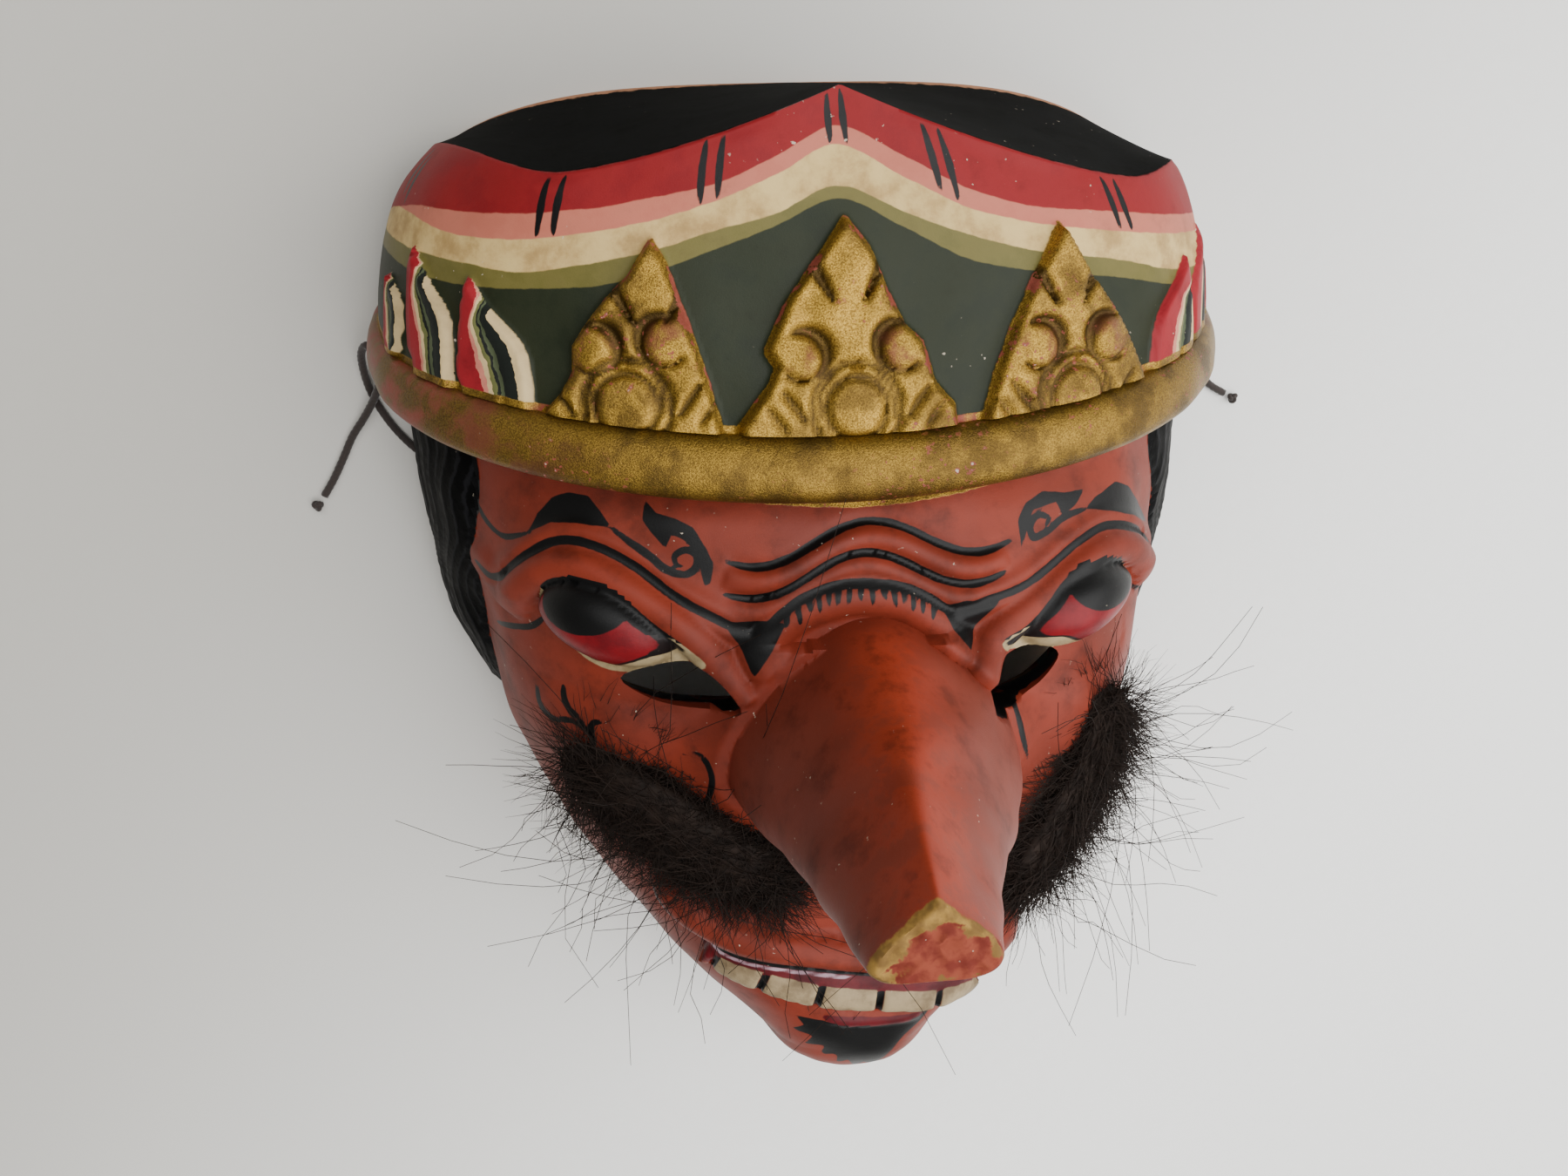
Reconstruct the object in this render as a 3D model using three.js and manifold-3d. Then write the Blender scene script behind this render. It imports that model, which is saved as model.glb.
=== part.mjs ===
// A carved and painted wooden dance mask: a long-nosed, grinning face under a gilded crown.
// It lies on its back rim, face up, in millimetres.
// +X points to the viewer's right, +Y to the crown and +Z out of the face.
import * as THREE from 'three';
import { mergeVertices } from 'three/addons/utils/BufferGeometryUtils.js';
import Module from 'manifold-3d';

const wasm = await Module();
wasm.setup();

// Overall size
const CHIN_Y = -95;
const TOP_Y = 95;
const WALL = 7.5;
const CHIN_ROUND = 9;
const CHIN_HALF_WIDTH = 22;
const CHIN_LEAN = 2.5;

// Face: half width and depth at places along Y
const FACE_HALF_WIDTHS = [
  [-86, 22], [-79, 29.5], [-67.5, 40], [-54.5, 49], [-40, 57],
  [-30, 61], [-21, 63.5], [0, 66.5], [20, 68.5], [56, 70],
];
const FACE_DEPTHS = [
  [-95, 42], [-92, 49], [-86, 53], [-75, 55.5], [-60, 56], [-45, 57],
  [-30, 59.5], [-10, 62], [10, 63], [22, 61], [30, 58], [56, 57],
];
const FACE_SQUARENESS = 2.7;

// Crown: a block that widens to its back rim, with a scalloped front edge
const CROWN_HALF_WIDTH = { left: 80, right: 77.5 };
const CROWN_SHOULDER_Y = 40;
const CROWN_SHOULDER_POWER = 3.5;
const CROWN_DEPTH = 64;
const CROWN_DEPTH_LOSS = 6;
const CROWN_SQUARENESS = 2.6;
const RIDGE_PEAK_Y = 89.8;
const SCALLOPS = {
  left: { valleyX: 43, valleyY: 78.3, cornerX: 66, cornerY: 84.5 },
  right: { valleyX: 51, valleyY: 75.3, cornerX: 68, cornerY: 78.5 },
};

// Gilded band at the foot of the crown
const BAND_FRONT_Y = 32.3;
const BAND_RISE = 22;
const BAND_RISE_POWER = 0.68;
const BAND_HALF_HEIGHT = { side: 3.4, front: 5.4 };
const BAND_PROUD = { side: 1.5, front: 4 };

// How much further in than the outer walls the hollow lies
const FACE_INSET = 8.6;
const CROWN_INSET = 10.1;
const RIM_NARROWING = 0.97;

// Back rim: arched a little along both sides, so that the head thread passes under it
const RIM_ARCH = { fromY: -62, toY: 48, lift: 4, fadeZ: 30 };

// Head thread and the holes it is tied through
const THREAD_D = 1.6;
const THREAD_SIDES = 8;
const HOLE_D = 3.2;
const HOLE = { y: 45.5, z: 8 };

const AROUND = 26;
const GAP = 0.35;
const FINEST_EDGE = 0.01;

function smoothStep(from, to, x) {
  const t = Math.min(1, Math.max(0, (x - from) / (to - from)));
  return t * t * (3 - 2 * t);
}

function mix(a, b, t) {
  return a + (b - a) * t;
}

// Smooth curve through [place, size] pairs, without overshoot between them
function profile(pairs) {
  const place = pairs.map((pair) => pair[0]);
  const size = pairs.map((pair) => pair[1]);
  const last = pairs.length - 1;
  const width = place.slice(1).map((p, i) => p - place[i]);
  const rise = width.map((w, i) => (size[i + 1] - size[i]) / w);
  const slope = place.map((_, i) => {
    if (i === 0) return rise[0];
    if (i === last) return rise[last - 1];
    if (rise[i - 1] * rise[i] <= 0) return 0;
    const before = 2 * width[i] + width[i - 1];
    const after = width[i] + 2 * width[i - 1];
    return (before + after) / (before / rise[i - 1] + after / rise[i]);
  });
  return (x) => {
    const inside = Math.min(place[last], Math.max(place[0], x));
    let i = 0;
    while (i < last - 1 && inside > place[i + 1]) i += 1;
    const t = (inside - place[i]) / width[i];
    const ease = t * t * (3 - 2 * t);
    return size[i] * (1 - ease) + size[i + 1] * ease
      + width[i] * (slope[i] * t * (1 - t) ** 2 - slope[i + 1] * t * t * (1 - t));
  };
}

const faceWidthAt = profile(FACE_HALF_WIDTHS);
const faceDepthAt = profile(FACE_DEPTHS);

function faceHalfWidth(y) {
  const roundEnd = CHIN_Y + CHIN_ROUND;
  if (y >= roundEnd) return faceWidthAt(y);
  const t = Math.min(1, (roundEnd - y) / CHIN_ROUND);
  return CHIN_HALF_WIDTH * Math.sqrt(1 - t * t);
}

// Quarter of the squared round that the crown's shoulders follow, 1 at its start and 0 at its end
function shoulder(t) {
  const inside = Math.min(1, Math.max(0, t));
  return (1 - inside ** CROWN_SHOULDER_POWER) ** (1 / CROWN_SHOULDER_POWER);
}

function crownSideWidth(x) {
  return x < 0 ? CROWN_HALF_WIDTH.left : CROWN_HALF_WIDTH.right;
}

function crownHalfWidth(x, y) {
  return crownSideWidth(x) * shoulder((y - CROWN_SHOULDER_Y) / (TOP_Y - CROWN_SHOULDER_Y));
}

function backRimY(x) {
  return CROWN_SHOULDER_Y + (TOP_Y - CROWN_SHOULDER_Y) * shoulder(Math.abs(x) / crownSideWidth(x));
}

function crownDepth(y) {
  return CROWN_DEPTH - CROWN_DEPTH_LOSS * smoothStep(30, TOP_Y, y);
}

// Squared oval section: angle 0 is the left rim, 90 degrees the front, 180 the right rim
function section(angle, squareness) {
  const cosine = Math.cos(angle);
  return {
    across: -Math.sign(cosine) * Math.abs(cosine) ** (2 / squareness),
    out: Math.abs(Math.sin(angle)) ** (2 / squareness),
  };
}

function chinLean(y) {
  return CHIN_LEAN * smoothStep(20, -80, y);
}

function rimLift(y) {
  const t = (y - RIM_ARCH.fromY) / (RIM_ARCH.toY - RIM_ARCH.fromY);
  if (t <= 0 || t >= 1) return 0;
  return RIM_ARCH.lift * Math.sin(Math.PI * t);
}

function lifted(y, z) {
  const fade = Math.max(0, 1 - z / RIM_ARCH.fadeZ);
  return z + rimLift(y) * fade * fade;
}

function facePoint(angle, y, inset = 0) {
  const { across, out } = section(angle, FACE_SQUARENESS);
  const x = (faceHalfWidth(y) - inset) * across + chinLean(y);
  return new THREE.Vector3(x, y, (faceDepthAt(y) - inset) * out);
}

function crownPoint(angle, y, inset = 0) {
  const { across, out } = section(angle, CROWN_SQUARENESS);
  const x = (crownHalfWidth(across, y) - inset) * across;
  return new THREE.Vector3(x, y, (crownDepth(y) - inset) * out);
}

function bandY(angle) {
  const { out } = section(angle, CROWN_SQUARENESS);
  return BAND_FRONT_Y + BAND_RISE * (1 - out) ** BAND_RISE_POWER;
}

function bandSize(size, angle) {
  const { out } = section(angle, CROWN_SQUARENESS);
  return mix(size.side, size.front, out);
}

function ridgeLineY(x) {
  const side = x < 0 ? SCALLOPS.left : SCALLOPS.right;
  const away = Math.abs(x);
  if (away < side.valleyX) {
    return side.valleyY + (RIDGE_PEAK_Y - side.valleyY) * (1 - away / side.valleyX) ** 1.5;
  }
  return side.valleyY + (side.cornerY - side.valleyY) * smoothStep(side.valleyX, side.cornerX, away);
}

// Where the crown's front wall, followed at one angle, meets the scalloped edge
function ridgeY(angle) {
  const inside = Math.min(Math.PI - 0.03, Math.max(0.03, angle));
  let low = 45;
  let high = TOP_Y - 0.01;
  for (let step = 0; step < 40; step += 1) {
    const middle = (low + high) / 2;
    const { x } = crownPoint(inside, middle);
    if (middle < Math.min(ridgeLineY(x), backRimY(x) - 0.3)) low = middle;
    else high = middle;
  }
  return (low + high) / 2;
}

// Closed body from rings of equally many points, its ends closed by fans
function loft(rings) {
  const points = rings.flat();
  const count = rings[0].length;
  const triangles = [];
  for (let r = 0; r < rings.length - 1; r += 1) {
    for (let i = 0; i < count; i += 1) {
      const a = r * count + i;
      const b = r * count + (i + 1) % count;
      triangles.push([a, b, b + count], [a, b + count, a + count]);
    }
  }
  [0, rings.length - 1].forEach((r) => {
    const centre = rings[r].reduce((sum, p) => sum.add(p), new THREE.Vector3()).divideScalar(count);
    const hub = points.push(centre) - 1;
    for (let i = 0; i < count; i += 1) {
      const a = r * count + i;
      const b = r * count + (i + 1) % count;
      triangles.push(r === 0 ? [b, a, hub] : [a, b, hub]);
    }
  });
  return closedBody(points, triangles);
}

function closedBody(points, triangles) {
  const volume = triangles.reduce((sum, [a, b, c]) => (
    sum + points[a].dot(new THREE.Vector3().crossVectors(points[b], points[c]))), 0);
  const turned = volume < 0 ? triangles.map(([a, b, c]) => [a, c, b]) : triangles;
  const geometry = new THREE.BufferGeometry().setFromPoints(points);
  geometry.setIndex(turned.flat());
  return solidOf(geometry);
}

function solidOf(geometry, tolerance = 1e-3) {
  const bare = geometry.clone();
  bare.deleteAttribute('normal');
  bare.deleteAttribute('uv');
  const merged = mergeVertices(bare, tolerance);
  const corners = [];
  const index = merged.index.array;
  for (let i = 0; i < index.length; i += 3) {
    const [a, b, c] = index.slice(i, i + 3);
    if (a !== b && b !== c && c !== a) corners.push(a, b, c);
  }
  return new wasm.Manifold(new wasm.Mesh({
    numProp: 3,
    vertProperties: Float32Array.from(merged.attributes.position.array),
    triVerts: Uint32Array.from(corners),
  }));
}

function unite(solids) {
  return solids.reduce((whole, piece) => whole.add(piece));
}

function angles(count) {
  return Array.from({ length: count + 1 }, (_, i) => (Math.PI * i) / count);
}

// Outer block of the head, from the chin over the face, crown wall and top to the back rim
function headBlock() {
  const around = angles(AROUND);
  const ringAt = (pointAt) => around.map((angle) => {
    const p = pointAt(angle);
    return new THREE.Vector3(p.x, p.y, lifted(p.y, p.z));
  });
  const rings = [];
  [0.07, 0.3, 0.6, 0.9].forEach((t) => {
    const y = CHIN_Y + CHIN_ROUND * (1 - Math.cos(t * Math.PI / 2));
    rings.push(ringAt((angle) => facePoint(angle, y)));
  });
  const faceStart = CHIN_Y + CHIN_ROUND;
  const faceRows = 13;
  for (let row = 0; row <= faceRows; row += 1) {
    const t = row / faceRows;
    rings.push(ringAt((angle) => (
      facePoint(angle, mix(faceStart, bandY(angle) - bandSize(BAND_HALF_HEIGHT, angle), t)))));
  }
  const wallRows = 6;
  for (let row = 0; row <= wallRows; row += 1) {
    const t = row / wallRows;
    rings.push(ringAt((angle) => crownPoint(angle, mix(bandY(angle) - 2, ridgeY(angle), t))));
  }
  [0.5, 1].forEach((t) => {
    rings.push(around.map((angle) => {
      const front = crownPoint(angle, ridgeY(angle));
      return new THREE.Vector3(front.x, mix(front.y, backRimY(front.x), t), front.z * (1 - t));
    }));
  });
  return loft(rings);
}

// The hollow for the wearer's face, open at the back
function hollow() {
  const below = -6;
  const around = angles(16);
  const endY = CHIN_Y + CHIN_ROUND + 1;
  const endInset = FACE_INSET * 1.6;
  const faceRow = (t) => (angle) => (
    facePoint(angle, mix(endY, bandY(angle) + 1, t), t === 0 ? endInset : FACE_INSET));
  const crownRow = (t) => (angle) => (
    crownPoint(angle, mix(bandY(angle) + 7, ridgeY(angle) - CROWN_INSET, t), CROWN_INSET));
  const rimRow = (z) => (angle) => {
    const { x } = crownPoint(angle, ridgeY(angle), WALL);
    return new THREE.Vector3(x * RIM_NARROWING, backRimY(x) - WALL, z);
  };
  const rows = [
    ...[0, 0.06, 0.2, 0.36, 0.52, 0.68, 0.84, 1].map(faceRow),
    ...[0, 0.5, 1].map(crownRow),
    rimRow(0),
    rimRow(below),
  ];
  return loft(rows.map((pointAt) => {
    const arc = around.map(pointAt);
    const floor = [arc[arc.length - 1], arc[0]].map((p) => new THREE.Vector3(p.x, p.y, below));
    return [...arc, ...floor];
  }));
}

// A place on the face given by its X and Y as seen from the front, raised along the surface
function onFace(x, y, height = 0) {
  const surfaceZ = (px, py) => {
    const across = Math.min(0.995, Math.abs((px - chinLean(py)) / faceHalfWidth(py)));
    return faceDepthAt(py) * (1 - across ** FACE_SQUARENESS) ** (1 / FACE_SQUARENESS);
  };
  const step = 0.5;
  const slopeX = (surfaceZ(x + step, y) - surfaceZ(x - step, y)) / (2 * step);
  const slopeY = (surfaceZ(x, y + step) - surfaceZ(x, y - step)) / (2 * step);
  const normal = new THREE.Vector3(-slopeX, -slopeY, 1).normalize();
  return new THREE.Vector3(x, y, surfaceZ(x, y)).addScaledVector(normal, height);
}

// Length along the crown's section from its front line, and the angle that has that length
const ARC_STEPS = 720;
const ARC_Y = 50;
const CROWN_ARC = (() => {
  const marks = [];
  let length = 0;
  let previous = crownPoint(0, ARC_Y);
  for (let i = 0; i <= ARC_STEPS; i += 1) {
    const angle = (Math.PI * i) / ARC_STEPS;
    const here = crownPoint(angle, ARC_Y);
    length += here.distanceTo(previous);
    previous = here;
    marks.push({ angle, length });
  }
  return marks;
})();

function crownAngle(along) {
  const frontLine = CROWN_ARC[ARC_STEPS / 2].length;
  return CROWN_ARC.find((mark) => mark.length - frontLine >= along).angle;
}

// A place on the crown wall given by its length along the wall from the front line, and its Y
function onCrown(along, y, height = 0) {
  const angle = crownAngle(along);
  return crownPoint(angle, y).addScaledVector(crownOutward(angle, y), height);
}

// Outward direction of the crown wall, level with the rim at its two ends
function crownOutward(angle, y) {
  const { across, out } = section(angle, CROWN_SQUARENESS);
  const x = Math.sign(across) * Math.abs(across) ** (CROWN_SQUARENESS - 1) / crownHalfWidth(across, y);
  const z = out ** (CROWN_SQUARENESS - 1) / crownDepth(y);
  return new THREE.Vector3(x, 0, z).normalize();
}

// Raised plate: a patch of the surface between two edges, domed or flat, sunk into the wood behind
function plate({ place, spine, halfWidth, proud, sunk = 3, columns = 6, rows = 8 }) {
  const centre = new THREE.CatmullRomCurve3(spine.map(([x, y]) => new THREE.Vector3(x, y, 0)));
  const at = (u, v, height) => {
    const middle = centre.getPoint(v);
    const ahead = centre.getTangent(v);
    const reach = u * halfWidth(v);
    return place(middle.x + ahead.y * reach, middle.y - ahead.x * reach, height);
  };
  const rings = [];
  for (let row = 0; row <= rows; row += 1) {
    const v = row / rows;
    const top = [];
    const back = [];
    for (let column = 0; column <= columns; column += 1) {
      const u = (2 * column) / columns - 1;
      top.push(at(u, v, proud(u, v)));
    }
    [1, 0, -1].forEach((u) => back.push(at(u, v, -sunk)));
    rings.push([...top, ...back]);
  }
  return loft(rings);
}

// Rounded ridge that follows a line on the face
function bead(line, width, proud, { rows = 14, taper = 0.15, sunk = 2 } = {}) {
  const ends = (v) => Math.min(1, Math.min(v, 1 - v) / taper + 0.25);
  return plate({
    place: onFace,
    spine: line,
    halfWidth: () => width / 2,
    proud: (u, v) => (Math.abs(u) > 0.9 ? -0.4 : proud * ends(v) * (1 - 0.35 * u * u)),
    sunk,
    columns: 4,
    rows,
  });
}

// Oval boss: its rounded top starts at the height base and rises by proud
function dome({ place, centre, long, short, turn, proud, base = 0, sunk = 2.5, sides = 12 }) {
  const levels = [[-sunk, 1], [base, 1], [base + 0.55 * proud, 0.86], [base + 0.87 * proud, 0.5]];
  const rings = levels.map(([level, size]) => (
    Array.from({ length: sides }, (_, i) => {
      const angle = (2 * Math.PI * i) / sides;
      const x = long * size * Math.cos(angle);
      const y = short * size * Math.sin(angle);
      const px = centre[0] + x * Math.cos(turn) - y * Math.sin(turn);
      const py = centre[1] + x * Math.sin(turn) + y * Math.cos(turn);
      return place(px, py, level);
    })));
  const tip = place(centre[0], centre[1], base + proud);
  return loft([...rings, rings[0].map(() => tip.clone())]);
}

// Long nose: rounded three-sided sections from the wood behind its root to the blunt tip
const NOSE = {
  place: [50, 60, 70, 82, 95, 108, 120, 127],
  centreX: [1.8, 2.8, 3.4, 3.2, 1.8, 0.2, -0.9, -1.4],
  topY: [9, 7.8, 5, 1.5, -2, -5, -7.5, -9.3],
  bottomY: [-34, -33, -32.5, -31, -28.8, -26, -23, -21],
  halfWidth: [31, 29, 27, 23, 18.4, 14.4, 11.4, 9.6],
  taper: [0.2, 0.2, 0.24, 0.3, 0.34, 0.4, 0.44, 0.46],
};

function nose(grow = 0) {
  const sides = 20;
  const along = (name) => profile(NOSE.place.map((z, i) => [z, NOSE[name][i]]));
  const [centreX, topY, bottomY, halfWidth, taper] = (
    ['centreX', 'topY', 'bottomY', 'halfWidth', 'taper'].map(along));
  const rings = NOSE.place.map((z) => Array.from({ length: sides }, (_, i) => {
    const angle = (2 * Math.PI * i) / sides;
    const across = Math.sign(Math.cos(angle)) * Math.abs(Math.cos(angle)) ** (2 / 2.3);
    const up = Math.sign(Math.sin(angle)) * Math.abs(Math.sin(angle)) ** (2 / 2.3);
    const narrow = 1 - taper(z) * (up + 0.5) - 0.1 * (up + 0.5) ** 2;
    const x = centreX(z) + (halfWidth(z) + grow) * narrow * across;
    const y = (topY(z) + bottomY(z)) / 2 + ((topY(z) - bottomY(z)) / 2 + grow) * up;
    return new THREE.Vector3(x, y, z);
  }));
  return loft(rings);
}

function band() {
  const edge = [[-1, -3], [-0.96, 0.45], [-0.5, 1], [0.35, 0.95], [0.95, 0.4], [1, -3]];
  return loft(angles(AROUND).map((angle) => {
    const y = bandY(angle);
    const half = bandSize(BAND_HALF_HEIGHT, angle);
    const proud = bandSize(BAND_PROUD, angle);
    const away = crownOutward(angle, y);
    return edge.map(([up, out]) => (
      crownPoint(angle, y + up * half).addScaledVector(away, out < 0 ? out : out * proud)));
  }));
}

// Three gilded leaf-shaped plates on the crown's front, each carved with a disc and two lobes
const ANTEFIX_PROUD = 2.6;
const ANTEFIX_LENGTH = 30;
const ANTEFIX_DISC = { up: 4.6, long: 4.8, short: 4.3, proud: 0.8 };
const ANTEFIX_LOBE = { across: 7.4, up: 13, long: 4.6, short: 3.4, turn: 0.9, proud: 0.8 };
const ANTEFIX_HALF_WIDTH = profile([
  [0, 17.5], [0.1, 15.6], [0.25, 12.9], [0.4, 12], [0.6, 9], [0.8, 5], [1, 0.5],
]);
const ANTEFIXES = [
  { foot: [-35.5, 39.5], tip: [-30.6, 68] },
  { foot: [0, 38], tip: [0, 70.4] },
  { foot: [38.5, 37.5], tip: [36.5, 68.5] },
];

function antefix({ foot, tip }) {
  const leaf = plate({
    place: onCrown,
    spine: [foot, tip],
    halfWidth: ANTEFIX_HALF_WIDTH,
    proud: (u) => ANTEFIX_PROUD * (1 - 0.2 * u * u),
    columns: 4,
    rows: 7,
  });
  const boss = (shape, across, turn) => dome({
    ...shape,
    place: onCrown,
    centre: [mix(foot[0], tip[0], shape.up / ANTEFIX_LENGTH) + across, foot[1] + shape.up],
    turn,
    base: 0.9 * ANTEFIX_PROUD,
    sides: 8,
  });
  const disc = boss(ANTEFIX_DISC, 0, 0);
  const lobes = [-1, 1].map((side) => (
    boss(ANTEFIX_LOBE, side * ANTEFIX_LOBE.across, side * ANTEFIX_LOBE.turn)));
  return unite([leaf, disc, ...lobes]);
}

// Painted side leaves of the crown, low plates behind the antefixes
const LEAF_HALF_WIDTH = profile([[0, 6], [0.35, 6.8], [0.7, 3.6], [1, 0.4]]);
const LEAVES = [
  { spine: [[-56.3, 41.5], [-57.5, 50], [-60, 57.5], [-61.2, 63]], size: 1, proud: 1.7 },
  { spine: [[-70, 47], [-70.5, 54], [-73, 61], [-75, 67.7]], size: 0.82, proud: 1.7 },
  { spine: [[-83, 53], [-82.5, 57], [-84, 60], [-85.5, 64]], size: 0.6, proud: 1.4 },
  { spine: [[61, 41], [62.5, 49], [66, 57], [68, 62]], size: 0.95, proud: 1.4 },
  { spine: [[75, 47], [75.5, 54], [77.5, 61], [79, 67]], size: 0.78, proud: 1 },
  { spine: [[87, 53], [86.5, 57], [88, 60], [89.5, 64]], size: 0.6, proud: 1 },
];

function sideLeaf({ spine, size, proud }) {
  return plate({
    place: onCrown,
    spine,
    halfWidth: (v) => size * LEAF_HALF_WIDTH(v),
    proud: (u) => proud * (1 - 0.5 * u * u),
    columns: 2,
    rows: 5,
  });
}

// Forehead folds: waves across the brow
const FOLDS = [
  { y: 16.8, swing: 3.1, middleX: 2.6, period: 37, fromX: -21, toX: 27 },
  { y: 12.1, swing: 3.6, middleX: 1.5, period: 36.5, fromX: -22, toX: 27 },
];

const FOLD_WIDTH = 4.2;
const FOLD_PROUD = 1.9;

function fold({ y, swing, middleX, period, fromX, toX }) {
  const steps = 14;
  const line = Array.from({ length: steps + 1 }, (_, i) => {
    const x = mix(fromX, toX, i / steps);
    return [x, y + swing * Math.cos((2 * Math.PI * (x - middleX)) / period)];
  });
  return bead(line, FOLD_WIDTH, FOLD_PROUD, { rows: steps });
}

// Heavy upper lids that run from the temples down to the nose
const LID_WIDTH = 6.4;
const LID_PROUD = 3.2;
const LIDS = [
  [
    [-56, 7.5], [-52, 13.5], [-46.5, 17.4], [-42, 18], [-37, 16],
    [-31.5, 12], [-25.5, 6.5], [-21, -1], [-19.5, -7],
  ],
  [
    [58, 4.5], [54.5, 10.5], [48.5, 14.6], [42.5, 14.5], [36.5, 11.8],
    [30.5, 7.5], [25.5, 3.5], [22, -1.5], [20.5, -7],
  ],
];
const EYES = [
  { centre: [-38.3, 8.6], long: 12, short: 7, turn: -0.38 },
  { centre: [38.5, 6.6], long: 12, short: 7, turn: 0.26 },
];
const EYE_PROUD = 6.5;

// Sight slits below the eyes, wider on the inner side
const SLIT_DEPTH = { outer: 80, straightTo: 56, wideFrom: 44, inner: 30 };
const SLIT_WIDENING = 1.7;
const SLITS = [
  [[-38.5, -2], [-33, 1.8], [-27, 2.2], [-23, -1.5], [-19.8, -7], [-26, -7.4], [-34, -6.2]],
  [[22.2, -8.5], [25, -3.6], [29, 0], [34, 0.6], [38.8, -4], [35, -8.2], [30, -10.6], [25.5, -11.4]],
];

function slit(outline) {
  const middle = outline.reduce((sum, [x, y]) => [sum[0] + x, sum[1] + y], [0, 0])
    .map((total) => total / outline.length);
  const ringAt = (z, size) => outline.map(([x, y]) => (
    new THREE.Vector3(mix(middle[0], x, size), mix(middle[1], y, size), z)));
  return loft([
    ringAt(SLIT_DEPTH.outer, 1),
    ringAt(SLIT_DEPTH.straightTo, 1),
    ringAt(SLIT_DEPTH.wideFrom, SLIT_WIDENING),
    ringAt(SLIT_DEPTH.inner, SLIT_WIDENING),
  ]);
}

// Grinning mouth: an upper lip roll, a row of teeth below it and a small lower lip
const UPPER_LIP = [
  [-34.5, -43.5], [-30.5, -51], [-24, -56.2], [-16, -58.8], [-6, -61],
  [6, -63.6], [18, -66], [29, -67.4], [37, -65.5],
];
const UPPER_LIP_SIZE = { width: 8, proud: 3.6 };
const TEETH = [[-25, -62.8], [-12, -67], [0, -70.2], [13, -72.2], [25, -74.6]];
const TOOTH_COUNT = 6;
const TOOTH_SIZE = { halfHeight: 3.1, proud: 3.3 };
const LOWER_LIP = [[-9, -77.4], [0, -79.4], [8, -79.6], [14, -78.4]];
const LOWER_LIP_SIZE = { width: 3.6, proud: 1.4 };

function upperLip(grow = 0) {
  const { width, proud } = UPPER_LIP_SIZE;
  return bead(UPPER_LIP, width + 2 * grow, proud + grow, { rows: 12, taper: 0.05 });
}

function teeth() {
  const rowsEach = 3;
  return plate({
    place: onFace,
    spine: TEETH,
    halfWidth: (v) => TOOTH_SIZE.halfHeight - 0.8 * (2 * v - 1) ** 4,
    proud: (u, v) => TOOTH_SIZE.proud - 0.7 * Math.abs(Math.cos(Math.PI * v * TOOTH_COUNT)) ** 6,
    columns: 2,
    rows: TOOTH_COUNT * rowsEach,
  });
}

// Carved locks of hair down both side walls, below the band's ends
const HAIR = { bottomY: -17.5, topY: 52, proud: 7, grooves: 3 };
const HAIR_FRONT_Z = profile([[-17.5, 15], [-12, 21], [5, 28], [20, 34], [52, 38]]);
const HAIR_REAR_Z = profile([[-17.5, 6], [-12, 2.4], [-4, 0.6], [52, 0.6]]);

function onSide(side, y, z, height) {
  const out = Math.min(1, z / faceDepthAt(y));
  const across = (1 - out ** FACE_SQUARENESS) ** (1 / FACE_SQUARENESS);
  const normal = new THREE.Vector3(
    side * across ** (FACE_SQUARENESS - 1) / faceHalfWidth(y),
    0,
    out ** (FACE_SQUARENESS - 1) / faceDepthAt(y),
  );
  const at = new THREE.Vector3(side * faceHalfWidth(y) * across + chinLean(y), y, lifted(y, z));
  return at.addScaledVector(normal.normalize(), height);
}

function hair(side) {
  const rows = 8;
  const columns = 9;
  const rings = [];
  for (let row = 0; row <= rows; row += 1) {
    const v = row / rows;
    const y = mix(HAIR.bottomY, HAIR.topY, v);
    const zAt = (u) => mix(HAIR_REAR_Z(y), HAIR_FRONT_Z(y), u);
    const fullness = HAIR.proud * Math.min(1, 0.35 + 3 * v);
    const ring = [];
    for (let column = 0; column <= columns; column += 1) {
      const u = column / columns;
      const swell = fullness * Math.sqrt(Math.max(0, 1 - u ** 2.2)) + 0.3;
      const groove = 0.7 * Math.cos(2 * Math.PI * HAIR.grooves * u) * (1 - u);
      ring.push(onSide(side, y, zAt(u), swell + groove));
    }
    [1, 0.5, 0].forEach((u) => ring.push(onSide(side, y, zAt(u), -3)));
    rings.push(ring);
  }
  return loft(rings);
}

const HOLE_CUT = { length: 34, fromMiddle: 72 };

function threadHole(side) {
  const geometry = new THREE.CylinderGeometry(HOLE_D / 2, HOLE_D / 2, HOLE_CUT.length, 10);
  geometry.rotateZ(Math.PI / 2);
  geometry.translate(side * HOLE_CUT.fromMiddle, HOLE.y, HOLE.z);
  return solidOf(geometry);
}

function maskBody() {
  const sides = [-1, 1];
  const carved = unite([
    headBlock(),
    band(),
    nose(),
    ...ANTEFIXES.map(antefix),
    ...LEAVES.map(sideLeaf),
    ...FOLDS.map(fold),
    ...EYES.map((eye) => dome({ place: onFace, proud: EYE_PROUD, ...eye })),
    ...LIDS.map((line) => bead(line, LID_WIDTH, LID_PROUD, { rows: 12 })),
    upperLip(),
    teeth(),
    bead(LOWER_LIP, LOWER_LIP_SIZE.width, LOWER_LIP_SIZE.proud, { rows: 6 }),
    ...sides.map(hair),
  ]);
  return [hollow(), ...SLITS.map(slit), ...sides.map(threadHole)]
    .reduce((body, cut) => body.subtract(cut), carved);
}

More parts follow.
